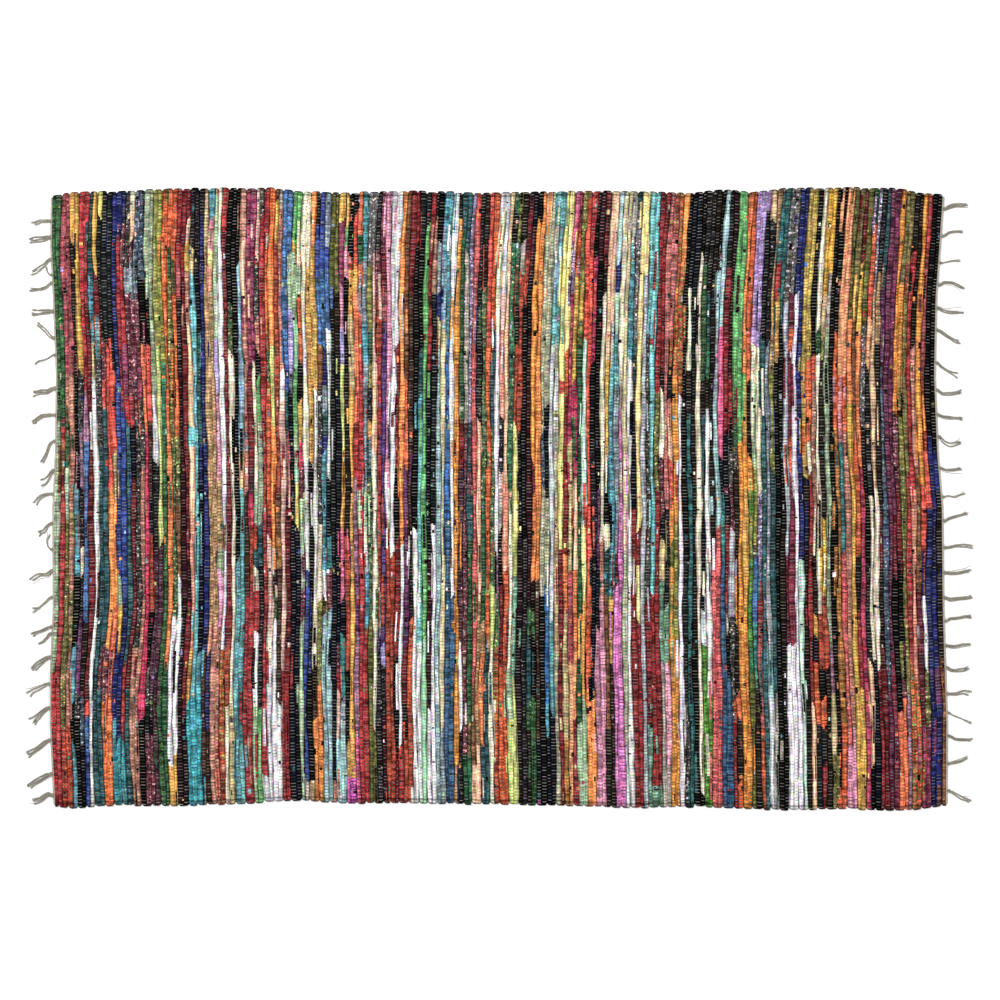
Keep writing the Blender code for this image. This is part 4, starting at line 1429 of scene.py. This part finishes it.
RIGHT_TASSELS = (
    Tassel(-570, 18, -8, 31, -16, 48, -20, 7, 2, 1),
    Tassel(-517, 16, 2, 29, 6, 43, 12, 5, 2, 1),
    Tassel(-463, 14, -6, 31, -8, 49, -8, 6, 2, 1),
    Tassel(-418, 10, -5, 23, -10, 47, -23, 4, 1, 0),
    Tassel(-381, 20, 0, 35, 4, 51, 0, 6, 2, 2),
    Tassel(-330, 9, -6, 20, -7, 49, -4, 7, 2, 2),
    Tassel(-287, 19, -2, 35, 1, 56, 4, 7, 2, 1),
    Tassel(-239, 11, 5, 33, 6, 56, 10, 6, 2, 2),
    Tassel(-194, 12, -4, 31, -1, 55, 2, 8, 3, 2),
    Tassel(-145, 14, -2, 33, 0, 56, 4, 7, 2, 1),
    Tassel(-96, 13, 1, 24, 4, 58, 4, 7, 2, 2),
    Tassel(-44, 11, 5, 27, 10, 51, 16, 6, 2, 1),
    Tassel(3, 12, 2, 25, -1, 47, 6, 4, 1, 0),
    Tassel(59, 11, -4, 25, -4, 45, 0, 5, 2, 1),
    Tassel(120, 12, -11, 24, -16, 47, -10, 7, 2, 3),
    Tassel(163, 12, -4, 31, -5, 53, -6, 6, 2, 1),
    Tassel(211, 12, -8, 31, -8, 55, -4, 6, 2, 1),
    Tassel(264, 12, -9, 27, -18, 47, -29, 6, 2, 1),
    Tassel(328, 22, -14, 38, -25, 49, -31, 6, 2, 2),
    Tassel(371, 10, -5, 25, -8, 53, -8, 7, 2, 1),
    Tassel(416, 11, 6, 31, 4, 55, -8, 6, 2, 1),
    Tassel(459, 19, 4, 31, 5, 43, 6, 4, 1, 0),
    Tassel(511, 15, 8, 29, 10, 45, 12, 5, 2, 1),
    Tassel(564, 11, 5, 23, 8, 51, 10, 7, 3, 4),
)


def across_path(path: Array) -> tuple[Array, Array]:
    """The two directions across a path, one level with the floor and one upward.

    Args:
        path: its points.

    Returns:
        The level direction and the upward one at each point.
    """
    along = np.gradient(path, axis=0)
    along /= np.linalg.norm(along, axis=1)[:, None]
    aside = np.cross(along, np.array([0.0, 0.0, 1.0]))
    size = np.linalg.norm(aside, axis=1)[:, None]
    aside = np.where(size > 1e-6, aside / np.maximum(size, 1e-6), np.array([0.0, 1.0, 0.0]))
    return aside, np.cross(aside, along)


@dataclass
class KnottedFringe:
    """One end of the rug: a heading of plain yarn picks, and the warp ends knotted into tassels.

    Attributes:
        name: the piece's name.
        node: the solid that it replaces.
        side: which end it is, -1 for the left and 1 for the right.
        tassels: its tassels.
        heading: the heading's width in mm.
        short: how far the heading stops before each long edge, in mm.
        strays: loose yarns beside each tassel's strands.
        stray: a loose yarn's radius in mm.
        ply: the radius in mm of each of a cord's three yarns.
        lay: how far the yarns' middles are from the cord's, in mm.
        twist: the length of a full turn of the yarns, in mm.
        fray: how far the yarns come apart at the tip, in mm.
        knot_ply: a yarn's radius in the knot, in mm.
        steps: points along a strand.
        sides: corners round a yarn.
    """

    name: str
    node: str
    side: int
    tassels: tuple[Tassel, ...]
    heading: float = 4.0
    short: float = 3.0
    strays: int = 1
    stray: float = 0.42
    ply: float = 0.8
    lay: float = 0.88
    twist: float = 9.0
    fray: float = 1.5
    knot_ply: float = 0.6
    steps: int = 30
    sides: int = 6

    def heading_mesh(self) -> bpy.types.Mesh:
        """The heading: two picks of plain yarn, beaded where the warp ends pass over them."""
        rows, share = row_places((0.4, 0.0, 0.3), (0.0, 0.4, 0.8))
        columns = np.arange(2 * RibbedCloth.SPANS + 1) / RibbedCloth.SPANS
        corner = float(OUTLINE.end(0.0, self.side))
        low = float(OUTLINE.edge(corner, -1)) + self.short
        high = float(OUTLINE.edge(corner, 1)) - self.short
        y = np.broadcast_to((low + (high - low) * rows / WEAVE.warp_ends)[:, None], (len(rows), len(columns)))
        across = columns / 2 * self.heading
        end = OUTLINE.end(y, self.side)
        x = end + across if self.side < 0 else end - self.heading + across
        over = (np.round(rows)[:, None] + np.minimum(columns.astype(int), 1)) % 2 == 0
        profile = np.array([1.6, 3.1, 3.8, 3.1, 2.4, 3.1, 3.8, 3.1, 2.0])[None, :]
        z = (profile - np.where(over & (profile > 3.0), 0.7, 0.0)) * share[:, None]
        points = np.stack([x, y, z], axis=2) * MM
        return RibbedCloth(points, columns, rows).build(f"{self.name}_heading")[0]

    def tube(self, path: Array, radius: Array) -> Part:
        """Sweeps a round section along a path.

        Args:
            path: its points.
            radius: the section's radius at each.

        Returns:
            The corners and the four-sided faces.
        """
        aside, upward = across_path(path)
        angle = np.arange(self.sides) / self.sides * 2 * math.pi
        ring = np.cos(angle)[None, :, None] * aside[:, None] + np.sin(angle)[None, :, None] * upward[:, None]
        points = path[:, None] + ring * radius[:, None, None]
        steps, corner = np.meshgrid(np.arange(len(path) - 1), np.arange(self.sides), indexing="ij")
        base = steps * self.sides + corner
        following = steps * self.sides + (corner + 1) % self.sides
        faces = np.stack([base, following, following + self.sides, base + self.sides], axis=2)
        return points.reshape(-1, 3), faces.reshape(-1, 4)

    def cord(self, path: Array, thickness: float, phase: float, fray: float) -> Iterator[Part]:
        """Three yarns twisted round a path.

        Args:
            path: the cord's middle line, in mm.
            thickness: a yarn's radius in mm.
            phase: where the twist starts.
            fray: how far the yarns come apart at the tip, in mm.

        Yields:
            Each yarn's corners and faces.
        """
        gone = np.concatenate([[0.0], np.cumsum(np.linalg.norm(np.diff(path, axis=0), axis=1))])
        left = gone[-1] - gone
        aside, upward = across_path(path)
        taper = np.clip(left / 4.0, 0.4, 1.0)
        apart = self.lay + fray * np.clip(1 - left / 9.0, 0.0, 1.0) ** 1.5
        for number in range(3):
            angle = phase + number * 2 * math.pi / 3 + gone / self.twist * 2 * math.pi
            offset = np.cos(angle)[:, None] * aside + np.sin(angle)[:, None] * upward
            yield self.tube(path + offset * apart[:, None], thickness * taper)

    def run(self, tassel: Tassel) -> Array:
        """A tassel's middle line from its root in the heading to its tip, in mm, without its height."""
        near, far = (tassel.near_out, tassel.near_side), (tassel.far_out, tassel.far_side)
        marks = np.array([(-2.0, 0.0), (0.0, 0.0), (4.0, 0.0), near, far, (tassel.tip_out, tassel.tip_side)])
        gone = np.concatenate([[0.0], np.cumsum(np.hypot(*np.diff(marks, axis=0).T))])
        fine = np.linspace(0, gone[-1], 120)
        kept = np.linspace(0, len(fine) - 1, self.steps).astype(int)
        past = {"mode": "reflect", "reflect_type": "odd"}
        soft = [smoothed(np.interp(fine, gone, line), 19, **past)[kept] for line in marks.T]
        root_x = float(OUTLINE.end(tassel.root, self.side))
        return np.stack([root_x + self.side * soft[0], tassel.root + soft[1]], axis=1)

    def strand(
        self, tassel: Tassel, number: int, middle: Array, aside: Array, chance: np.random.Generator
    ) -> tuple[Array, Array]:
        """One strand's way to its tip, beside the tassel's middle line. The last ones are the strays.

        Args:
            tassel: its tassel's sizes.
            number: the strand's number.
            middle: the tassel's middle line.
            aside: the direction beside it.
            chance: the seeded generator.

        Returns:
            Its place over the floor and its height, in mm.
        """
        gone = np.linspace(0.0, 1.0, len(middle))
        stray = number >= tassel.strands
        lane = chance.uniform(-0.5, 0.5) if stray else (number + 0.5) / tassel.strands - 0.5
        knot = np.clip(1.0 - np.abs(gone - 0.10) / 0.12, 0.0, 1.0)
        spread = (tassel.width + tassel.splay * gone + (3.0 if stray else 0.0)) * (1.0 - 0.55 * knot)
        loose = chance.normal(0.0, 1.0) * (3.0 if stray else 1.2) * gone**1.5
        wave = 0.8 * np.sin(chance.uniform(0, 6.28) + gone * chance.uniform(5, 12)) * gone
        curl = chance.normal(0.0, 2.6) * np.clip((gone - 0.72) / 0.28, 0, 1) ** 2
        reach = chance.uniform(0.84, 1.0)
        flat = middle + aside * (lane * spread + loose + wave + curl)[:, None]
        flat = flat[0] + (flat - flat[0]) * reach
        height = 1.6 + 0.8 * (number % 2) + 0.5 * np.sin(gone * 9 + number) * gone
        return flat, height * (1.0 - 0.25 * gone) + 1.2 * knot

    def tassel_parts(self, tassel: Tassel, chance: np.random.Generator) -> list[Part]:
        """One tassel's knot and yarns.

        Args:
            tassel: its sizes.
            chance: the seeded generator.

        Returns:
            Corners and faces, part by part.
        """
        middle = self.run(tassel)
        along = np.gradient(middle, axis=0)
        along /= np.linalg.norm(along, axis=1)[:, None]
        aside = np.stack([-along[:, 1], along[:, 0]], axis=1)
        parts = []
        for number in range(tassel.strands + self.strays):
            flat, height = self.strand(tassel, number, middle, aside, chance)
            if number < tassel.strands:
                path = np.column_stack([flat, np.maximum(height, 1.5)])
                parts += self.cord(path, self.ply, chance.uniform(0, 6.28), self.fray)
            else:
                path = np.column_stack([flat, np.maximum(height - 0.8, 0.5)])
                parts.append(self.tube(path, np.full(len(path), self.stray)))
        return parts + self.knot_parts(middle, aside, tassel)

    def knot_parts(self, middle: Array, aside: Array, tassel: Tassel) -> list[Part]:
        """The overhand knot: two loops side by side, each a little over one turn round the strands.

        Args:
            middle: the tassel's middle line.
            aside: the direction beside it.
            tassel: its sizes.

        Returns:
            Corners and faces, part by part.
        """
        at = middle[2]
        along = middle[3] - middle[1]
        along = along / np.linalg.norm(along)
        half = 0.5 * (tassel.width * 0.45 + 1.6)
        angle = np.linspace(0.3, 2 * math.pi * 1.25, 22)
        parts = []
        for loop in (0.0, 1.0):
            travel = np.linspace(-1.0, 1.0, len(angle)) * 1.3 + (loop - 0.5) * 1.5
            flat = at + aside[2] * (np.cos(angle) * half)[:, None] + along * travel[:, None]
            path = np.column_stack([flat, 2.9 + np.sin(angle) * 1.9])
            parts += self.cord(path, self.knot_ply, loop * 2.0, 0.0)
        return parts

    def make(self) -> list[bpy.types.Object]:
        """Builds and dresses the fringe.

        Returns:
            Its tassels as one piece, and its heading.
        """
        chance = np.random.default_rng(77 + self.side)
        corners, faces, first = [], [], 0
        for tassel in self.tassels:
            for points, quads in self.tassel_parts(tassel, chance):
                points[:, 2] = np.maximum(points[:, 2], 0.05)
                corners.append(points * MM)
                faces.append(quads + first)
                first += len(points)
        mesh = bpy.data.meshes.new(self.name)
        mesh.from_pydata(np.concatenate(corners), [], np.concatenate(faces).tolist())
        mesh.polygons.foreach_set("use_smooth", np.ones(len(mesh.polygons), dtype=bool))
        mesh.update()
        piece = link_object(self.name, mesh, CottonYarn().make(f"{self.name}_cotton_yarn"))
        bleached = CottonYarn(colour="c0baac", shadow="837c70").make(f"{self.name}_heading_yarn")
        heading = link_object(f"{self.name}_heading", self.heading_mesh(), bleached)
        for part in (piece, heading):
            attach(part, "root")
            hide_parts(self.node)
        LOG.info("%s: %d tassels, %d faces", self.name, len(self.tassels), len(mesh.polygons))
        return [piece, heading]


@dataclass
class Studio:
    """A pale floor under soft light, and the camera straight above it as the photograph has it.

    Attributes:
        metres_a_pixel: the photograph's scale on the floor.
        pixels: its width and height.
        centre_x: where the part's origin is in it, from its left.
        centre_y: where the origin is from its top.
        height: the camera's height in metres.
        level: the height at which the scale holds, in metres.
        sensor: the camera's sensor width in mm.
    """

    metres_a_pixel: float = 0.001948
    pixels: int = 1000
    centre_x: float = 497.3
    centre_y: float = 498.5
    height: float = 4.6
    level: float = 0.005
    sensor: float = 36.0

    def make(self) -> None:
        """Builds the floor, the lights and the camera."""
        self.floor()
        self.lights()
        self.camera()
        view = bpy.context.scene.view_settings
        view.view_transform = "Standard"
        view.look = "None"
        view.exposure = 0.0
        LOG.info("studio: floor, lights and camera")

    def floor(self) -> None:
        """Lays the floor."""
        half = 9.0
        mesh = bpy.data.meshes.new("floor")
        under = 0.3 * MM
        corners = ((-half, -half), (half, -half), (half, half), (-half, half))
        mesh.from_pydata([(x, y, -under) for x, y in corners], [], [[0, 1, 2, 3]])
        finish = {"Base Color": (0.93, 0.93, 0.93, 1.0), "Roughness": 0.9, "Specular IOR Level": 0.1}
        material = start_material("floor_matt_white", finish)[0]
        link_object("floor", mesh, material)

    def lights(self) -> None:
        """Hangs a large soft light to one side, a smaller fill and an even sky."""
        for name, place, size, power in (
            ("key", (-1.6, 1.9, 3.0), 2.4, 150.0),
            ("fill", (2.4, -1.6, 3.2), 3.0, 70.0),
        ):
            light = bpy.data.lights.new(name, "AREA")
            light.size = size
            light.energy = power
            lamp = bpy.data.objects.new(name, light)
            lamp.location = place
            away = np.array(place)
            away = away / np.linalg.norm(away)
            lamp.rotation_euler = (math.acos(away[2]), 0.0, math.atan2(away[0], -away[1]))
            bpy.context.scene.collection.objects.link(lamp)
        world = bpy.data.worlds.new("soft_sky")
        world.use_nodes = True
        sky = world.node_tree.nodes["Background"]
        sky.inputs["Color"].default_value = (1.0, 1.0, 1.0, 1.0)
        sky.inputs["Strength"].default_value = 0.58
        bpy.context.scene.world = world

    def camera(self) -> None:
        """Sets the camera above the point that the photograph's middle shows."""
        data = bpy.data.cameras.new("camera")
        data.sensor_width = self.sensor
        field = self.pixels * self.metres_a_pixel
        data.lens = self.sensor * (self.height - self.level) / field
        data.clip_end = 50.0
        camera = bpy.data.objects.new("camera", data)
        middle = self.pixels / 2
        camera.location = (
            (middle - self.centre_x) * self.metres_a_pixel,
            (self.centre_y - middle) * self.metres_a_pixel,
            self.height,
        )
        bpy.context.scene.collection.objects.link(camera)
        bpy.context.scene.camera = camera


def main() -> None:
    """Builds the rug's pieces in order and reports each."""
    logging.basicConfig(level=logging.INFO, format="%(message)s")
    Studio().make()
    left = KnottedFringe("left_fringe", "fringe_left", -1, LEFT_TASSELS).make()
    right = KnottedFringe("right_fringe", "fringe_right", 1, RIGHT_TASSELS).make()
    RagWeave().make(left, right)


if __name__ == "__main__":
    main()
